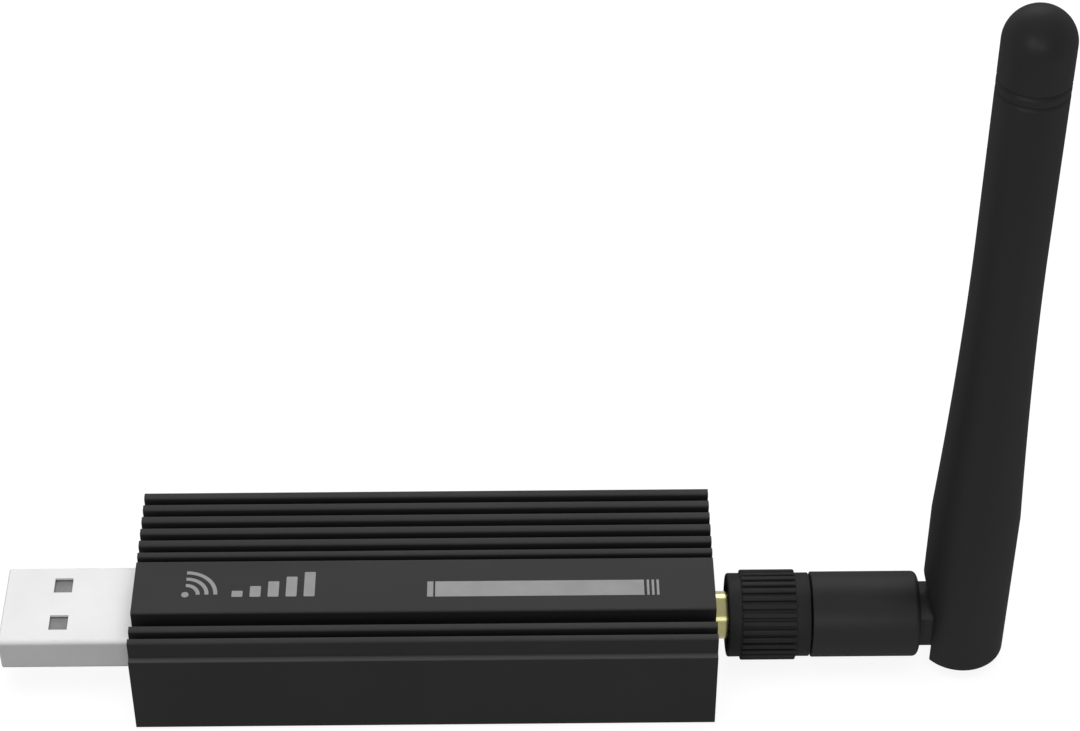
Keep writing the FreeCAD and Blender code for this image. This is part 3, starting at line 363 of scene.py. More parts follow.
def make_finish(name, dark, light, rough, metallic=0.0, specular=0.5, grain=4000.0, clouds=90.0,
                bump=0.15, depth=0.00002, lines=0.0, worn_highlit=None, wear_and_highlight_width=0.00015, haze=None,
                groove_shade=None, ledge_light=None):
    """Finish that drifts from dark to light, with roughness between the two in rough.

    haze is the roughness that a dull surface nears where it turns away from the eye. The edge
    colour is partly wear and partly a painted highlight, the groove colour is painted shade
    between the housing's ribs, and the ledge colour is painted light on its ledge."""
    finish = bpy.data.materials.new(name)
    finish.use_nodes = True
    tree = finish.node_tree
    shader = tree.nodes["Principled BSDF"]
    shader.inputs["Metallic"].default_value = metallic
    shader.inputs["Specular IOR Level"].default_value = specular
    place = tree.nodes.new("ShaderNodeTexCoord").outputs["Object"]
    effects = use_group(tree, grain_group, place, {"Grain": grain, "Clouds": clouds})

    shade = add_node(tree, "ShaderNodeMix", {"A": colour(dark), "B": colour(light)},
                     data_type="RGBA")
    spread = add_node(tree, "ShaderNodeMapRange", NOISE_RANGE)
    tree.links.new(effects.outputs["Clouds"], spread.inputs["Value"])
    tree.links.new(spread.outputs["Result"], shade.inputs["Factor"])
    top_colour = shade.outputs["Result"]
    # Edge colour: wear and a painted highlight. Groove colour: painted shade. Ledge colour: painted
    # light.
    for group, output, value, values in ((edge_wear_and_highlight_group, "WearAndHighlight", worn_highlit, {"Width": wear_and_highlight_width}),
                                         (painted_groove_group, "GrooveShade", groove_shade, ()),
                                         (painted_ledge_group, "LedgeLight", ledge_light, ())):
        if value is not None:
            spot = use_group(tree, group, place, values)
            top_colour = cover(tree, spot.outputs[output], top_colour, value)
    tree.links.new(top_colour, shader.inputs["Base Color"])

    height = effects.outputs["Grain"]
    if lines > 0:
        drawn = use_group(tree, lines_group, place, {"Lines": lines})
        joined = add_math(tree, "ADD", height, drawn.outputs["Lines"])
        height = add_math(tree, "MULTIPLY", joined, 0.5)
    sheen = add_node(tree, "ShaderNodeMapRange",
                     {**NOISE_RANGE, "To Min": rough[0], "To Max": rough[1]})
    tree.links.new(height, sheen.inputs["Value"])
    roughness = sheen.outputs["Result"]
    if haze is not None:
        slope = add_node(tree, "ShaderNodeLayerWeight", {"Blend": HAZE_BLEND})
        fade = add_node(tree, "ShaderNodeMix", {"B": haze})
        tree.links.new(slope.outputs["Facing"], fade.inputs["Factor"])
        tree.links.new(roughness, fade.inputs["A"])
        roughness = fade.outputs["Result"]
    tree.links.new(roughness, shader.inputs["Roughness"])

    relief = add_node(tree, "ShaderNodeBump", {"Strength": bump, "Distance": depth})
    tree.links.new(height, relief.inputs["Height"])
    tree.links.new(relief.outputs["Normal"], shader.inputs["Normal"])
    return finish


# %% [markdown]
# ## The finishes of this stick
# The housing is an aluminium extrusion that was blasted, then dyed black in an anodising bath. It
# is dull, almost like chalk board, with die lines along its length and edges a shade lighter, partly
# from wear and partly as a painted highlight. Painted shade darkens its grooves, and painted light
# brightens the ledge along each side. The plug's shell is thin steel with satin nickel on it. The
# antenna is soft rubber over moulded plastic, and the haze keeps both from shining where they turn
# away.

# %% Mix the finishes
# The housing's edges are lightened partly as wear and partly as a painted highlight, its grooves get
# painted shade and its side ledges get painted light.
anodised_black = make_finish("anodised_black", 0.036, 0.042, (0.50, 0.66), specular=0.06,
                             grain=5200.0, clouds=60.0, bump=0.12, lines=2600.0, worn_highlit=0.060,
                             wear_and_highlight_width=0.00010, groove_shade=0.021, ledge_light=0.072)
plate_black = make_finish("plate_black", 0.033, 0.040, (0.45, 0.60), specular=0.08,
                          grain=4200.0, clouds=120.0, bump=0.10, worn_highlit=0.06)
satin_nickel = make_finish("satin_nickel", (0.84, 0.84, 0.845), (0.89, 0.89, 0.895), (0.45, 0.56),
                           metallic=0.02, specular=0.06, grain=6000.0, clouds=140.0, bump=0.05,
                           lines=4200.0, worn_highlit=(0.92, 0.92, 0.93), wear_and_highlight_width=0.0002)
socket_plastic = make_finish("socket_plastic", 0.020, 0.028, (0.45, 0.6), specular=0.3)
contact_gold = make_finish("contact_gold", (0.78, 0.60, 0.26), (0.86, 0.70, 0.36), (0.16, 0.28),
                           metallic=1.0, grain=7000.0, bump=0.04)
jack_gold = make_finish("jack_gold", (0.27, 0.25, 0.12), (0.33, 0.305, 0.15), (0.14, 0.22),
                        metallic=1.0, grain=7000.0, bump=0.03)
moulded_black = make_finish("moulded_black", 0.006, 0.009, (0.38, 0.47), specular=0.23,
                            grain=5200.0, clouds=160.0, bump=0.16, worn_highlit=0.030, haze=1.0)
knurled_black = make_finish("knurled_black", 0.009, 0.012, (0.44, 0.54), specular=0.17,
                            grain=5200.0, clouds=160.0, bump=0.16, worn_highlit=0.030, haze=1.0)
whip_rubber = make_finish("whip_rubber", 0.006, 0.008, (0.34, 0.42), specular=0.185,
                          grain=4600.0, clouds=70.0, bump=0.12, haze=1.0)
ink_grey = make_finish("ink_grey", 0.27, 0.31, (0.5, 0.65), specular=0.25, grain=3200.0,
                       clouds=400.0, bump=0.10, depth=0.000008)
screw_black = make_finish("screw_black", 0.028, 0.040, (0.28, 0.42), metallic=0.6, specular=0.4,
                          grain=6500.0, bump=0.08, worn_highlit=(0.16, 0.16, 0.165), wear_and_highlight_width=0.00008)

# %% Mix the finishes that only show if the stick is opened
solder_mask = make_finish("solder_mask", (0.012, 0.075, 0.030), (0.020, 0.11, 0.048), (0.22, 0.34),
                          grain=2600.0, clouds=300.0)
chip_black = make_finish("chip_black", 0.020, 0.030, (0.5, 0.65), specular=0.35, grain=9000.0)
ceramic_tan = make_finish("ceramic_tan", (0.40, 0.29, 0.17), (0.50, 0.38, 0.24), (0.4, 0.55))
bare_lid = make_finish("bare_lid", 0.62, 0.72, (0.24, 0.36), metallic=1.0)
light_lens = make_finish("light_lens", (0.74, 0.76, 0.68), (0.84, 0.86, 0.78), (0.12, 0.2))
white_fluoropolymer = make_finish("white_fluoropolymer", 0.78, 0.86, (0.45, 0.6), specular=0.3)
red_silicone = make_finish("red_silicone", (0.46, 0.09, 0.06), (0.58, 0.14, 0.09), (0.5, 0.65))
spring_steel = make_finish("spring_steel", 0.52, 0.62, (0.22, 0.34), metallic=1.0)
cable_brown = make_finish("cable_brown", (0.24, 0.12, 0.07), (0.33, 0.18, 0.10), (0.3, 0.42))
turned_brass = make_finish("turned_brass", (0.62, 0.46, 0.22), (0.74, 0.57, 0.30), (0.2, 0.32),
                           metallic=1.0)
dark_bronze = make_finish("dark_bronze", (0.055, 0.048, 0.035), (0.08, 0.07, 0.05), (0.35, 0.5),
                          metallic=1.0)
white_foam = make_finish("white_foam", 0.68, 0.82, (0.85, 0.95), specular=0.1, grain=1400.0,
                         bump=0.5, depth=0.0001)
print("finishes", len(bpy.data.materials))

# %% [markdown]
# ## Dress the CAD nodes
# A node that already has the right shape keeps it, and only its finish changes. One table from node
# to finish keeps the choice in one place.

# %% Put the finishes on the nodes
NODE_FINISHES = {
    "housing": anodised_black,
    "usb_end_plate": plate_black,
    "antenna_end_plate": plate_black,
    "circuit_board": solder_mask,
    "usb_plug_shell": satin_nickel,
    "usb_insulator": socket_plastic,
    "usb_contacts": contact_gold,
    "radio_chip": chip_black,
    "bridge_chip": chip_black,
    "voltage_regulator": chip_black,
    "radio_filter": ceramic_tan,
    "crystals": bare_lid,
    "status_lights": light_lens,
    "capacitors": ceramic_tan,
    "resistors": chip_black,
    "boot_switch_case": bare_lid,
    "boot_switch_button": chip_black,
    "antenna_jack": jack_gold,
    "jack_insulator": white_fluoropolymer,
    "jack_contact": jack_gold,
    "plug_ferrule": dark_bronze,
    "plug_insulator": white_fluoropolymer,
    "plug_pin": jack_gold,
    "plug_gasket": red_silicone,
    "snap_ring": spring_steel,
    "nut_insert": jack_gold,
    "thumb_sleeve": moulded_black,
    "swivel_bush": dark_bronze,
    "swivel_base": moulded_black,
    "feed_cable": cable_brown,
    "whip_cover": whip_rubber,
    "whip_cable": cable_brown,
    "radiator_tube": turned_brass,
    "radiator_wire": turned_brass,
    "foam_plug": white_foam,
}
for name, finish in NODE_FINISHES.items():
    for slot in nodes[name].material_slots:
        slot.material = finish
print("dressed", len(NODE_FINISHES), "of", len(nodes), "nodes")

# %% [markdown]
# ## How the new pieces are made
# The antenna's pieces are round in most places, so each starts as half an outline, like the
# template that a lathe follows. A chain of edges is drawn out point by point, a vertex bevel rounds
# its corners, and a full spin turns it into a closed skin. What isn't round is cut out or joined on
# with a boolean modifier, which is then applied. All lengths are written in millimetres.

# %% Draw an outline, round its corners and turn it
MM = 0.001
MERGE = 1e-7
ROUND = 96


def at(x, y, z):
    """A place given in millimetres."""
    return Vector((x, y, z)) * MM


def merge(form):
    bmesh.ops.remove_doubles(form, verts=form.verts[:], dist=MERGE)


def only_verts(grown):
    """The vertices among all that an operator made."""
    return [item for item in grown["geom"] if isinstance(item, bmesh.types.BMVert)]


def draw_chain(form, points):
    """Chain of edges through the points; each vertex is drawn out of the one before."""
    chain = [form.verts.new(points[0])]
    for point in points[1:]:
        grown = bmesh.ops.extrude_vert_indiv(form, verts=[chain[-1]])
        grown["verts"][0].co = point
        chain.append(grown["verts"][0])
    return chain


def round_corner(form, corner, radius, segments=4):
    bmesh.ops.bevel(form, geom=[corner], offset=radius * MM, offset_type="OFFSET",
                    segments=segments, profile=0.5, affect="VERTICES", material=-1)


def turn_round(form, centre, axis, steps=ROUND):
    """Full turn of all that the form holds, closed at the seam and at the poles."""
    bmesh.ops.spin(form, geom=form.verts[:] + form.edges[:], cent=centre, axis=axis,
                   dvec=(0, 0, 0), angle=math.tau, steps=steps, use_merge=True)
    merge(form)


# %% Cut one form with another
def combine(form, tool, operation="DIFFERENCE"):
    """The form with the closed tool taken away, joined on or kept in common."""
    things = []
    for name, part in (("blank", form), ("tool", tool)):
        bmesh.ops.recalc_face_normals(part, faces=part.faces[:])
        mesh = bpy.data.meshes.new(name)
        part.to_mesh(mesh)
        part.free()
        things.append(bpy.data.objects.new(name, mesh))
        scene.collection.objects.link(things[-1])
    change = things[0].modifiers.new("combine", "BOOLEAN")
    change.operation = operation
    change.solver = "EXACT"
    change.object = things[1]
    ready = things[0].evaluated_get(bpy.context.evaluated_depsgraph_get())
    mesh = bpy.data.meshes.new_from_object(ready)
    result = bmesh.new()
    result.from_mesh(mesh)
    bpy.data.meshes.remove(mesh)
    for thing in things:
        mesh = thing.data
        bpy.data.objects.remove(thing)
        bpy.data.meshes.remove(mesh)
    merge(result)
    return result


# %% Shapes that the cuts use
def rod(radius, start, end, segments=48, end_radius=None):
    """Closed round bar or cone between two places."""
    form = bmesh.new()
    way = end - start
    turn = way.to_track_quat("Z", "Y").to_matrix().to_4x4()
    if end_radius is None:
        end_radius = radius
    bmesh.ops.create_cone(form, cap_ends=True, segments=segments, radius1=radius * MM,
                          radius2=end_radius * MM, depth=way.length,
                          matrix=Matrix.Translation((start + end) / 2) @ turn)
    return form


def block(low, high):
    """Closed box between two corners."""
    form = bmesh.new()
    bmesh.ops.create_cube(form, size=1.0, matrix=Matrix.Translation((low + high) / 2)
                          @ Matrix.Diagonal((*(high - low), 1)))
    return form


def prism(corners, way):
    """Closed bar: the outline through the corners, drawn out along a way."""
    form = bmesh.new()
    chain = draw_chain(form, corners)
    form.edges.new((chain[-1], chain[0]))
    face = form.faces.new(chain)
    grown = bmesh.ops.extrude_face_region(form, geom=[face], use_keep_orig=True)
    bmesh.ops.translate(form, vec=way, verts=only_verts(grown))
    return form


def join_forms(form, other):
    """Add another form as it is; it may pass into the first."""
    mesh = bpy.data.meshes.new("joined")
    other.to_mesh(mesh)
    other.free()
    form.from_mesh(mesh)
    bpy.data.meshes.remove(mesh)


# %% Make a piece of a finished form
def keep_piece(form, name, finish, body, stands_for=(), smooth=35, flats_lead=False):
    """Object with the form's mesh; faces that meet at less than smooth are shaded as one.

    With flats_lead, broad faces keep a flat shade, and only the small ones between them bend."""
    bmesh.ops.recalc_face_normals(form, faces=form.faces[:])
    open_edges = sum(1 for edge in form.edges if len(edge.link_faces) != 2)
    mesh = bpy.data.meshes.new(name)
    form.to_mesh(mesh)
    form.free()
    mesh.materials.append(finish)
    mesh.shade_smooth()
    mesh.set_sharp_from_angle(angle=math.radians(smooth))
    piece = bpy.data.objects.new(name, mesh)
    scene.collection.objects.link(piece)
    if flats_lead:
        weigh = piece.modifiers.new("flats_lead", "WEIGHTED_NORMAL")
        weigh.keep_sharp = True
    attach(piece, body)
    if stands_for:
        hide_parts(*stands_for)
    print(name, len(mesh.polygons), "faces,", open_edges, "open edges")
    return piece


# %% [markdown]
# ## The housing
# An extrusion die leaves a small radius on every rib, and light runs along it. The CAD model has
# the radii, but as loose triangles, so they show as facets. A merged copy of it gets its flat faces
# back and is shaded smooth. On its own that would also bend the shading of the broad faces beside
# each radius, so a weighted-normal modifier lets the large faces decide.

# %% Merge the housing and smooth its radii
FLAT_WITHIN = math.radians(0.5)

housing = bmesh.new()
housing.from_mesh(nodes["housing"].data)
merge(housing)
bmesh.ops.dissolve_limit(housing, angle_limit=FLAT_WITHIN, verts=housing.verts[:],
                         edges=housing.edges[:])
keep_piece(housing, "finned_housing", anodised_black, "stick", ["housing"],
           smooth=60, flats_lead=True)

# %% [markdown]
# ## The whip
# The whip is a rubber cover that tapers in a soft curve from a fat foot to a slim, round tip. Two
# fine creases near the tip are where the mould's cap met its body. At the foot, a slot with an
# arched top lets it fold over its hinge. A lathe's outline gives the cover, and cutters give the
# slot.

# %% Draw the whip's outline
whip_low, whip_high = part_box("whip_cover")
AXIS_Y = (whip_low.y + whip_high.y) / 2 / MM
FOOT_Z = whip_low.z / MM
TIP_Z = whip_high.z / MM
FOOT_RADIUS = (whip_high.y - whip_low.y) / 2 / MM
PIVOT_X = whip_high.x / MM - FOOT_RADIUS
AXIS_Z = FOOT_Z + 4.64
TIP_RADIUS = 3.825
FLARE = (21.3, 44.3, 60.6)
CREASES = (82.0, 83.3)
CREASE_WIDTH = 0.56
CREASE_DEPTH = 0.27

bend = at(PIVOT_X + TIP_RADIUS, AXIS_Y, FOOT_Z + FLARE[1])
flare_foot = at(PIVOT_X + FOOT_RADIUS, AXIS_Y, FOOT_Z + FLARE[0])
flare_top = at(PIVOT_X + TIP_RADIUS, AXIS_Y, FOOT_Z + FLARE[2])
flare = interpolate_bezier(flare_foot, flare_foot.lerp(bend, 2 / 3), flare_top.lerp(bend, 2 / 3),
                           flare_top, 20)
outline = [at(PIVOT_X, AXIS_Y, FOOT_Z), at(PIVOT_X + FOOT_RADIUS, AXIS_Y, FOOT_Z), *flare]
for height in CREASES:
    for lift, depth in ((-0.5, 0.0), (0.0, CREASE_DEPTH), (0.5, 0.0)):
        outline.append(at(PIVOT_X + TIP_RADIUS - depth, AXIS_Y, height + lift * CREASE_WIDTH))
outline += [at(PIVOT_X + TIP_RADIUS, AXIS_Y, TIP_Z), at(PIVOT_X, AXIS_Y, TIP_Z)]
print("whip outline", len(outline), "points")

# %% Turn the whip's cover
FOOT_ROUND = 0.3
CREASE_ROUND = 0.07
DOME_ROUND = TIP_RADIUS * 0.9999

whip = bmesh.new()
corners = draw_chain(whip, outline)
round_corner(whip, corners[1], FOOT_ROUND)
for corner in corners[-2 - 3 * len(CREASES):-2]:
    round_corner(whip, corner, CREASE_ROUND, segments=3)
round_corner(whip, corners[-2], DOME_ROUND, segments=20)
turn_round(whip, at(PIVOT_X, AXIS_Y, 0), (0, 0, 1))
print("whip", round(FOOT_Z, 2), "to", round(TIP_Z, 2), "mm,", len(whip.faces), "faces")

# %% Cut the slot and the room for the hinge
SLOT_HALF = 3.2
SLOT_STRAIGHT = 1.2
SLOT_REACH = 7.5
ARCH_HEIGHT = 5.4
HINGE_ROOM = 3.97
SLOT_WALL = 0.15
WALL_TOP = 6
CUT_PAST = 1


def arc(middle, half_width, height, plane, steps=32):
    """Places along half an ellipse, from its left end over its top to its right end."""
    places = []
    for step in range(steps + 1):
        turn = math.pi * (1 - step / steps)
        across = half_width * math.cos(turn)
        up = height * math.sin(turn)
        places.append(middle + (at(0, across, up) if plane == "YZ" else at(across, 0, up)))
    return places


slot_start = PIVOT_X - SLOT_REACH
below_foot = FOOT_Z - CUT_PAST
slot = arc(at(slot_start, AXIS_Y, AXIS_Z + SLOT_STRAIGHT), SLOT_HALF, ARCH_HEIGHT, "YZ")
slot += [at(slot_start, AXIS_Y + side * SLOT_HALF, below_foot) for side in (1, -1)]
whip = combine(whip, prism(slot, at(PIVOT_X - slot_start, 0, 0)))
room = arc(at(PIVOT_X, AXIS_Y - SLOT_HALF, AXIS_Z), HINGE_ROOM, HINGE_ROOM, "XZ")
room += [at(PIVOT_X + side * HINGE_ROOM, AXIS_Y - SLOT_HALF, below_foot) for side in (1, -1)]
inside_wall = rod(FOOT_RADIUS - SLOT_WALL, at(PIVOT_X, AXIS_Y, FOOT_Z - 2 * CUT_PAST),
                  at(PIVOT_X, AXIS_Y, AXIS_Z + WALL_TOP), ROUND)
whip = combine(whip, combine(prism(room, at(0, 2 * SLOT_HALF, 0)), inside_wall, "INTERSECT"))

# %% Bore the whip and add the bosses that it turns on
BORE_RADIUS = 2.6
TIP_WALL = 3
BOSS_RADIUS = 1.2
BOSS_LENGTH = 1.2
BOSS_ROOT = 0.5

whip = combine(whip, rod(BORE_RADIUS, at(PIVOT_X, AXIS_Y, AXIS_Z),
                         at(PIVOT_X, AXIS_Y, TIP_Z - TIP_WALL)))
for side in (-1, 1):
    boss = rod(BOSS_RADIUS, at(PIVOT_X, AXIS_Y + side * (SLOT_HALF - BOSS_LENGTH), AXIS_Z),
               at(PIVOT_X, AXIS_Y + side * (SLOT_HALF + BOSS_ROOT), AXIS_Z), 32)
    join_forms(whip, boss)
keep_piece(whip, "whip_sleeve", whip_rubber, "whip", ["whip_cover"])

# %% [markdown]
# ## The swivel base
# The swivel base turns on the antenna's plug and carries the hinge. It is a short barrel with soft
# ends, and a tongue grows out of a shallow dish in its far end, so that the whip's corners can
# swing past. The barrel is turned, a sphere cuts the dish, and the tongue is a bar with two flat
# sides.

# %% Turn the barrel and cut its dish
swivel_low, swivel_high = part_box("swivel_base")
SWIVEL_X = swivel_low.x / MM
SWIVEL_RADIUS = (swivel_high.y - swivel_low.y) / 2 / MM
SWIVEL_END_X = SWIVEL_X + 12.39
BUSH_RADIUS = 3.5
BUSH_ROOM = 7.1
NEAR_ROUND = 0.12
FAR_ROUND = 0.65
DISH_GAP = 0.15
DISH_RADIUS = math.hypot(FOOT_RADIUS, AXIS_Z - FOOT_Z) + DISH_GAP

swivel = bmesh.new()
corners = draw_chain(swivel, [at(x, AXIS_Y, AXIS_Z + radius) for x, radius in (
    (SWIVEL_X + BUSH_ROOM, 0), (SWIVEL_X + BUSH_ROOM, BUSH_RADIUS), (SWIVEL_X, BUSH_RADIUS),
    (SWIVEL_X, SWIVEL_RADIUS), (SWIVEL_END_X, SWIVEL_RADIUS), (SWIVEL_END_X, 0))])
round_corner(swivel, corners[3], NEAR_ROUND)
round_corner(swivel, corners[4], FAR_ROUND, segments=8)
turn_round(swivel, at(0, AXIS_Y, AXIS_Z), (1, 0, 0))
dish = bmesh.new()
bmesh.ops.create_uvsphere(dish, u_segments=96, v_segments=64, radius=DISH_RADIUS * MM,
                          matrix=Matrix.Translation(at(PIVOT_X, AXIS_Y, AXIS_Z)))
swivel = combine(swivel, dish)
print("dish radius", round(DISH_RADIUS, 2), "mm")

# %% Add the tongue and its knuckle
TONGUE_RADIUS = 3.72
TONGUE_HALF = 3.05
TONGUE_ROOT = 3.4
PAST = 5

tongue = rod(TONGUE_RADIUS, at(SWIVEL_END_X - TONGUE_ROOT, AXIS_Y, AXIS_Z),
             at(PIVOT_X, AXIS_Y, AXIS_Z), ROUND)
tongue = combine(tongue, block(at(SWIVEL_X, AXIS_Y - TONGUE_HALF, AXIS_Z - PAST),
                               at(PIVOT_X + 1, AXIS_Y + TONGUE_HALF, AXIS_Z + PAST)), "INTERSECT")
knuckle = rod(TONGUE_RADIUS, at(PIVOT_X, AXIS_Y - TONGUE_HALF, AXIS_Z),
              at(PIVOT_X, AXIS_Y + TONGUE_HALF, AXIS_Z), ROUND)
tongue = combine(tongue, knuckle, "UNION")
swivel = combine(swivel, tongue, "UNION")

# %% Cut the cable's way and the holes for the whip's bosses
CABLE_HOLE = 1.15
CABLE_HOLE_X = SWIVEL_X + 7
BOSS_HOLE = 1.25
BOSS_HOLE_START = 1.85
BOSS_HOLE_END = 4

swivel = combine(swivel, rod(CABLE_HOLE, at(CABLE_HOLE_X, AXIS_Y, AXIS_Z),
                             at(PIVOT_X, AXIS_Y, AXIS_Z), 32))
swivel = combine(swivel, block(
    at(PIVOT_X - CABLE_HOLE, AXIS_Y - CABLE_HOLE, AXIS_Z - CABLE_HOLE),
    at(PIVOT_X + PAST, AXIS_Y + CABLE_HOLE, AXIS_Z + PAST)))
for side in (-1, 1):
    swivel = combine(swivel, rod(BOSS_HOLE, at(PIVOT_X, AXIS_Y + side * BOSS_HOLE_START, AXIS_Z),
                                 at(PIVOT_X, AXIS_Y + side * BOSS_HOLE_END, AXIS_Z), 32))
keep_piece(swivel, "swivel_barrel", moulded_black, "swivel", ["swivel_base"])

# %% [markdown]
# ## The knurled sleeve
# The coupling nut is turned with the fingers, so its sleeve has 32 ribs with narrow grooves
# between them. One rib's outline is drawn with rounded shoulders, spin copies it round the axis,
# and the closed ring is then drawn out, ring by ring, into the whole sleeve.

# %% Draw the ribs and copy them round
nut_low, nut_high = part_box("thumb_sleeve")
NUT_X = nut_low.x / MM
NUT_END_X = nut_high.x / MM
KNURL_X = NUT_X + 1.67
KNURL_RADIUS = 5.234
KNURL_COUNT = 32
GROOVE_WIDTH = 0.42
GROOVE_DEPTH = 0.36
GROOVE_TAPER = 0.75
RIB_CROWN = 0.02


def spoke(radius, degrees):
    """Place at a radius and an angle round the antenna's long axis, where the knurl starts."""
    turn = math.radians(degrees)
    return at(KNURL_X, AXIS_Y + radius * math.cos(turn), AXIS_Z + radius * math.sin(turn))


pitch = 360 / KNURL_COUNT
half_groove = math.degrees(GROOVE_WIDTH / 2 / KNURL_RADIUS)
half_rib = [(KNURL_RADIUS, pitch / 6), (KNURL_RADIUS - RIB_CROWN, pitch / 2 - half_groove),
            (KNURL_RADIUS - GROOVE_DEPTH, pitch / 2 - half_groove * GROOVE_TAPER),
            (KNURL_RADIUS - GROOVE_DEPTH, pitch / 2)]
rib = ([spoke(radius, -degrees) for radius, degrees in reversed(half_rib)]
       + [spoke(radius, degrees) for radius, degrees in half_rib])
sleeve = bmesh.new()
corners = draw_chain(sleeve, rib)
for index, radius in ((1, 0.04), (2, 0.09), (5, 0.09), (6, 0.04)):
    round_corner(sleeve, corners[index], radius, segments=3)
bmesh.ops.spin(sleeve, geom=sleeve.verts[:] + sleeve.edges[:], cent=at(0, AXIS_Y, AXIS_Z),
               axis=(1, 0, 0), dvec=(0, 0, 0), angle=math.tau * (KNURL_COUNT - 1) / KNURL_COUNT,
               steps=KNURL_COUNT - 1, use_duplicate=True)
merge(sleeve)
print("knurl ring", len(sleeve.verts), "places")

# %% Draw the ring out into the sleeve
KNURL_END_X = KNURL_X + 6.19
NUT_RADIUS = 4.855
RIB_END = 0.08
RIB_END_DROP = 0.06
UNDER_RIBS = NUT_RADIUS - 0.01
INSERT_RADIUS = 4.0


def draw_ring(form, ring, x, radius=None, shrink=0.0):
    """New ring of faces from a ring of edges: to a place along the axis, and to a radius."""
    grown = bmesh.ops.extrude_edge_only(form, edges=ring)
    fresh = only_verts(grown)
    for vert in fresh:
        arm = Vector((0, vert.co.y - AXIS_Y * MM, vert.co.z - AXIS_Z * MM))
        length = arm.length - shrink * MM if radius is None else radius * MM
        vert.co = at(x, AXIS_Y, AXIS_Z) + arm.normalized() * length
    known = set(fresh)
    return [item for item in grown["geom"] if isinstance(item, bmesh.types.BMEdge)
            and item.verts[0] in known and item.verts[1] in known]


start_ring = sleeve.edges[:]
front = draw_ring(sleeve, start_ring, KNURL_END_X - RIB_END)
front = draw_ring(sleeve, front, KNURL_END_X, shrink=RIB_END_DROP)
for x, radius in ((KNURL_END_X, UNDER_RIBS), (NUT_END_X - 0.12, NUT_RADIUS),
                  (NUT_END_X - 0.035, NUT_RADIUS - 0.035), (NUT_END_X, NUT_RADIUS - 0.12),
                  (NUT_END_X, 2.7), (NUT_END_X - 2.4, 2.7), (NUT_END_X - 2.4, INSERT_RADIUS)):
    front = draw_ring(sleeve, front, x, radius=radius)
rear = draw_ring(sleeve, start_ring, KNURL_X - RIB_END, shrink=RIB_END_DROP)
rear = draw_ring(sleeve, rear, KNURL_X - RIB_END, radius=UNDER_RIBS)
for ahead, radius in ((0.25, NUT_RADIUS), (0.16, NUT_RADIUS - 0.02), (0.08, NUT_RADIUS - 0.07),
                      (0.02, NUT_RADIUS - 0.16), (0.0, NUT_RADIUS - 0.25), (0.0, 4.45),
                      (0.03, 4.38), (0.1, 4.35), (1.2, 4.35), (1.2, INSERT_RADIUS)):
    rear = draw_ring(sleeve, rear, NUT_X + ahead, radius=radius)
bmesh.ops.bridge_loops(sleeve, edges=front + rear)
keep_piece(sleeve, "knurled_sleeve", knurled_black, "coupling_nut",
           ["thumb_sleeve"])

# %% [markdown]
# ## The threaded jack
# The antenna screws onto a gold-plated jack. Its thread only shows when the antenna is taken off,
# but then it is what the eye looks for. A thread is one ridge that climbs as it turns, so a small
# ridge outline is spun with a step along the axis. A square flange and four legs hold the jack on
# the board, inside the housing.

# %% Turn the jack's barrel
JACK_FRONT_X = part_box("antenna_jack")[1].x / MM
PLATE_INNER_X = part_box("antenna_end_plate")[0].x / MM
NECK_RADIUS = 2.79
JACK_BORE = 2.05
MOUTH_RADIUS = 2.33
MOUTH_X = JACK_FRONT_X - 1.95
MOUTH_ROUND = 0.12
FRONT_CHAMFER = 0.1
BARREL_START_X = PLATE_INNER_X - 0.5

jack = bmesh.new()
corners = draw_chain(jack, [at(x, AXIS_Y, AXIS_Z + radius) for x, radius in (
    (BARREL_START_X, JACK_BORE), (BARREL_START_X, NECK_RADIUS),
    (JACK_FRONT_X - FRONT_CHAMFER, NECK_RADIUS), (JACK_FRONT_X, NECK_RADIUS - FRONT_CHAMFER),
    (JACK_FRONT_X, MOUTH_RADIUS), (MOUTH_X, MOUTH_RADIUS), (MOUTH_X, JACK_BORE))])
jack.edges.new((corners[-1], corners[0]))
round_corner(jack, corners[4], MOUTH_ROUND, segments=3)
turn_round(jack, at(0, AXIS_Y, AXIS_Z), (1, 0, 0))

# %% Wind the thread on it
THREAD_RADIUS = 3.175
THREAD_PITCH = 0.7056
THREAD_STEPS = 60
THREAD_X = 35.575
THREAD_END = 0.3
ROOT_HALF = 0.28
ROOT_SINK = 0.02
CREST_HALF = 0.05

ridge = bmesh.new()
foot = AXIS_Z + NECK_RADIUS - ROOT_SINK
crest = AXIS_Z + THREAD_RADIUS
corners = draw_chain(ridge, [
    at(THREAD_X - ROOT_HALF, AXIS_Y, foot), at(THREAD_X - CREST_HALF, AXIS_Y, crest),
    at(THREAD_X + CREST_HALF, AXIS_Y, crest), at(THREAD_X + ROOT_HALF, AXIS_Y, foot)])
ridge.edges.new((corners[-1], corners[0]))
ridge.faces.new(corners)
turns = (JACK_FRONT_X - THREAD_END - THREAD_X) / THREAD_PITCH - 0.05
steps = round(turns * THREAD_STEPS)
bmesh.ops.spin(ridge, geom=ridge.verts[:] + ridge.edges[:] + ridge.faces[:],
               cent=at(0, AXIS_Y, AXIS_Z), axis=(1, 0, 0),
               dvec=(THREAD_PITCH / THREAD_STEPS * MM, 0, 0),
               angle=math.tau * steps / THREAD_STEPS, steps=steps)
join_forms(jack, ridge)
print("thread", round(turns, 2), "turns")

# %% Add the flange and its legs
FLANGE_THICKNESS = 1.6
FLANGE_HALF = 3.25
FLANGE_ROUND = 0.4
LEG_SIDE = 0.9
LEG_SPREAD = 2.8
LEG_START = 0.8
LEG_END = 5.2

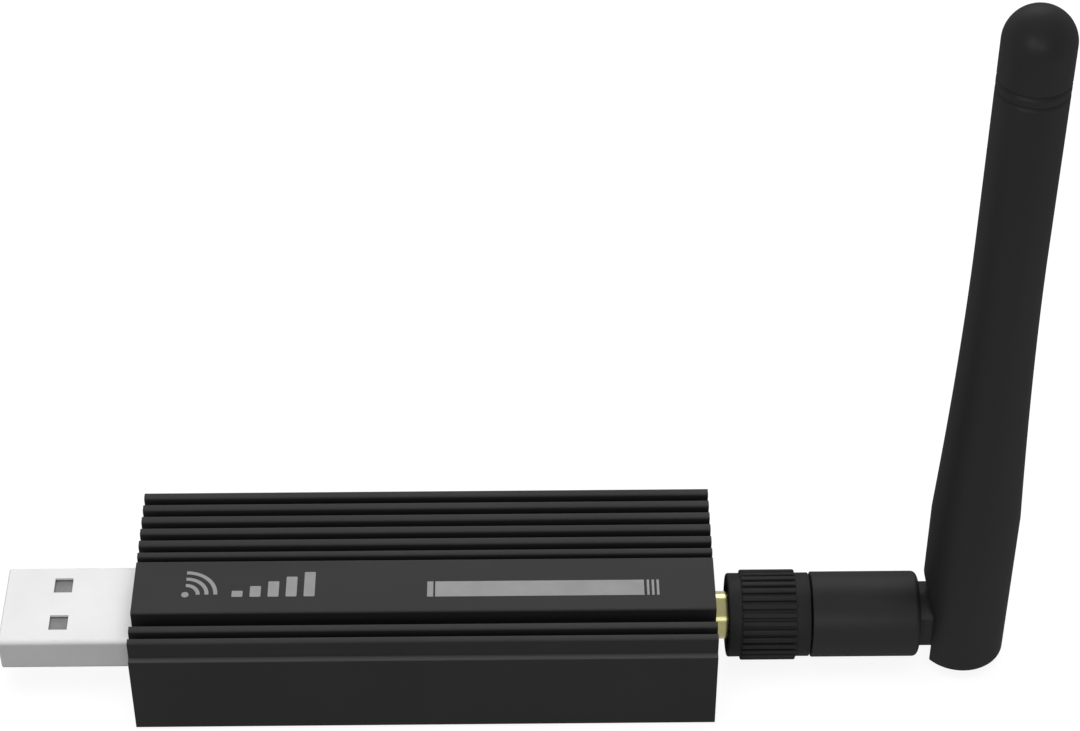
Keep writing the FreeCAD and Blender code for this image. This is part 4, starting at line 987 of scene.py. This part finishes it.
flange = block(
    at(PLATE_INNER_X - FLANGE_THICKNESS, AXIS_Y - FLANGE_HALF, AXIS_Z - FLANGE_HALF),
    at(PLATE_INNER_X, AXIS_Y + FLANGE_HALF, AXIS_Z + FLANGE_HALF))
long_edges = [edge for edge in flange.edges
              if abs(edge.verts[0].co.x - edge.verts[1].co.x) > 1 * MM]
bmesh.ops.bevel(flange, geom=long_edges, offset=FLANGE_ROUND * MM, offset_type="OFFSET",
                segments=3, profile=0.5, affect="EDGES", material=-1)
flange = combine(flange, rod(JACK_BORE, at(PLATE_INNER_X - 3, AXIS_Y, AXIS_Z),
                             at(PLATE_INNER_X + 1, AXIS_Y, AXIS_Z)))
board_low, board_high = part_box("circuit_board")
for side in (-1, 1):
    for z in (board_high.z / MM, board_low.z / MM - LEG_SIDE):
        y = AXIS_Y + side * LEG_SPREAD
        join_forms(flange, block(at(PLATE_INNER_X - LEG_END, y - LEG_SIDE / 2, z),
                                 at(PLATE_INNER_X - LEG_START, y + LEG_SIDE / 2, z + LEG_SIDE)))
join_forms(jack, flange)
keep_piece(jack, "threaded_jack", jack_gold, "stick", ["antenna_jack"])

# %% [markdown]
# ## The print on the band
# The flat band between the fins carries grey print. Ink has a little thickness, so each mark is a
# thin plate that stands 0.02 mm proud. At the left is a plain sign for a radio signal, a dot with
# arcs beside rising bars, and at the right is a long bar between short strokes.

# %% Draw the plates of ink
BAND_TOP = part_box("housing")[1].z / MM
INK_SINK = 0.01
INK_RISE = 0.02
INK_Z = BAND_TOP - INK_SINK


def ink_bar(form, x0, x1, y0, y1, corner=0.0):
    """Flat mark from x0 to x1 and y0 to y1, with rounded corners if asked."""
    place = Matrix.Translation(at((x0 + x1) / 2, (y0 + y1) / 2, INK_Z))
    made = bmesh.ops.create_grid(form, x_segments=1, y_segments=1, size=0.5, matrix=place
                                 @ Matrix.Diagonal(((x1 - x0) * MM, (y1 - y0) * MM, 1, 1)))
    if corner > 0:
        bmesh.ops.bevel(form, geom=made["verts"], offset=corner * MM, offset_type="OFFSET",
                        segments=4, profile=0.5, affect="VERTICES", material=-1)


def ink_arc(form, x, y, radius, width, start, sweep):
    """Flat curved mark round a place, from an angle and through a sweep in degrees."""
    turn = Matrix.Rotation(math.radians(start), 3, "Z")
    middle = at(x, y, INK_Z)
    ends = draw_chain(form, [middle + turn @ at(radius - width / 2, 0, 0),
                             middle + turn @ at(radius + width / 2, 0, 0)])
    bmesh.ops.spin(form, geom=ends + ends[0].link_edges[:], cent=middle, axis=(0, 0, 1),
                   dvec=(0, 0, 0), angle=math.radians(sweep), steps=max(6, round(sweep / 6)))


def raise_ink(form, name):
    """Give every flat mark its thickness and put it on the housing."""
    merge(form)
    grown = bmesh.ops.extrude_face_region(form, geom=form.faces[:], use_keep_orig=True)
    bmesh.ops.translate(form, vec=at(0, 0, INK_SINK + INK_RISE), verts=only_verts(grown))
    keep_piece(form, name, ink_grey, "stick")


# %% Print the signal sign
SIGN_X = -27.6
SIGN_Y = -4.95
DOT_RADIUS = 0.42
DOT_X = SIGN_X + 0.4
DOT_Y = SIGN_Y + 0.4
ARC_RADII = (1.45, 2.45, 3.45)
ARC_WIDTH = 0.46
BAR_X = SIGN_X + 5.7
BAR_WIDTH = 1.25
BAR_PITCH = 2.05
FIRST_BAR = 0.95
BAR_RISE = 0.72
BAR_CORNER = 0.12

signal = bmesh.new()
bmesh.ops.create_circle(signal, cap_ends=True, segments=32, radius=DOT_RADIUS * MM,
                        matrix=Matrix.Translation(at(DOT_X, DOT_Y, INK_Z)))
for radius in ARC_RADII:
    ink_arc(signal, DOT_X, DOT_Y, radius, ARC_WIDTH, 0, 90)
for index in range(5):
    left = BAR_X + index * BAR_PITCH
    ink_bar(signal, left, left + BAR_WIDTH, SIGN_Y, SIGN_Y + FIRST_BAR + index * BAR_RISE,
            corner=BAR_CORNER)
raise_ink(signal, "signal_print")

# %% Print the long bar and its strokes
LABEL_LOW = -5.16
LABEL_HIGH = -2.78
LABEL_MARKS = ((0.35, 1.04), (1.26, 25.08), (25.40, 25.67), (25.96, 26.23), (26.52, 26.79))

label = bmesh.new()
for left, right in LABEL_MARKS:
    ink_bar(label, left, right, LABEL_LOW, LABEL_HIGH)
raise_ink(label, "label_print")

# %% [markdown]
# ## End plates and screws
# A thin plate closes each end of the housing, and two countersunk screws hold it. The plates come
# from the CAD model, but without their screw holes. So a merged copy of each is drilled with a
# cone, and a screw with a cross in its head is turned to fill the hole.

# %% Copy a plate and drill it
SCREW_HEIGHT = 7.8
SCREW_REACH = 9.65
HEAD_RADIUS = 1.7
HEAD_SINK = 0.9
HEAD_GAP = 0.12
DRILL_PAST = 0.1
DRILL_NARROWS = 0.75


def drill_plate(node, side, name):
    """Copy of an end plate with two countersunk holes; side is -1 or 1 along the housing."""
    form = bmesh.new()
    form.from_mesh(nodes[node].data)
    merge(form)
    face_x = (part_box(node)[1].x if side > 0 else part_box(node)[0].x) / MM
    for y in (-SCREW_REACH, SCREW_REACH):
        drill = rod(HEAD_RADIUS + HEAD_GAP + DRILL_PAST,
                    at(face_x + side * DRILL_PAST, y, SCREW_HEIGHT),
                    at(face_x - side * HEAD_SINK, y, SCREW_HEIGHT), 48,
                    end_radius=HEAD_RADIUS - DRILL_NARROWS)
        form = combine(form, drill)
    keep_piece(form, name, plate_black, "stick", [node], flats_lead=True)
    return face_x


# %% Turn a countersunk screw and cut its cross
HEAD_DROP = 0.04
HEAD_CHAMFER = 0.02
HEAD_END = 0.95
SHANK_RADIUS = 0.85
SHANK_END = 1.3
CROSS_HALF = 0.95
CROSS_WIDTH = 0.32
CROSS_DEPTH = 0.72
CROSS_TAPER = (1, 0.35, 0.8)
CROSS_TURN = 20


def make_screw(name, face_x, side, y):
    """Screw that fills a plate's hole; each blade that cuts its cross tapers inward."""
    form = bmesh.new()
    draw_chain(form, [at(face_x - side * depth, y, SCREW_HEIGHT + radius) for depth, radius in (
        (HEAD_DROP, 0), (HEAD_DROP, HEAD_RADIUS - HEAD_CHAMFER), (HEAD_GAP, HEAD_RADIUS),
        (HEAD_END, SHANK_RADIUS), (SHANK_END, SHANK_RADIUS), (SHANK_END, 0))])
    turn_round(form, at(0, y, SCREW_HEIGHT), (1, 0, 0), 48)
    for turn in (0, 90):
        blade = block(at(-1, -CROSS_HALF, -CROSS_WIDTH / 2),
                      at(CROSS_DEPTH, CROSS_HALF, CROSS_WIDTH / 2))
        thin = [vert for vert in blade.verts if vert.co.x > 0]
        bmesh.ops.scale(blade, vec=CROSS_TAPER, verts=thin)
        bmesh.ops.transform(blade, verts=blade.verts[:], matrix=Matrix.Translation(
            at(face_x - side * HEAD_DROP, y, SCREW_HEIGHT))
            @ Matrix.Rotation(math.radians(turn + CROSS_TURN * side), 4, "X")
            @ Matrix.Rotation(0 if side < 0 else math.pi, 4, "Z"))
        form = combine(form, blade)
    keep_piece(form, name, screw_black, "stick")


for node, side, end in (("usb_end_plate", -1, "usb"), ("antenna_end_plate", 1, "antenna")):
    face_x = drill_plate(node, side, end + "_plate_drilled")
    for y, place in ((-SCREW_REACH, "front"), (SCREW_REACH, "back")):
        make_screw(end + "_screw_" + place, face_x, side, y)

# %% [markdown]
# ## Behind the plug's windows
# Two square windows in the plug's shell catch the socket's springs. In the photograph they look
# grey and not black, because something pale lies close behind them. A thin grey tray, its ends bent
# down, closes the space under the windows.

# %% Fold the tray behind the windows
shell_low, shell_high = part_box("usb_plug_shell")
SHELL_WALL = 0.3
TRAY_X = shell_low.x / MM + 6.6
TRAY_Z = shell_high.z / MM - SHELL_WALL - 0.2
TRAY_LENGTH = 3.6
TRAY_WIDTH = 11.2
TRAY_FOLD = 0.35
TRAY_THICKNESS = 0.15

socket_grey = make_finish("socket_grey", 0.20, 0.25, (0.45, 0.6), specular=0.3, grain=2400.0,
                          clouds=500.0)
tray = bmesh.new()
bmesh.ops.create_grid(tray, x_segments=1, y_segments=1, size=0.5,
                      matrix=Matrix.Translation(at(TRAY_X, AXIS_Y, TRAY_Z))
                      @ Matrix.Diagonal((TRAY_LENGTH * MM, TRAY_WIDTH * MM, 1, 1)))
rims = [edge for edge in tray.edges if abs(edge.verts[0].co.x - edge.verts[1].co.x) < 1e-6]
folded = bmesh.ops.extrude_edge_only(tray, edges=rims)
bmesh.ops.translate(tray, vec=at(0, 0, -TRAY_FOLD), verts=only_verts(folded))
bmesh.ops.recalc_face_normals(tray, faces=tray.faces[:])
bmesh.ops.solidify(tray, geom=tray.faces[:], thickness=TRAY_THICKNESS * MM)
keep_piece(tray, "plug_tray", socket_grey, "stick")
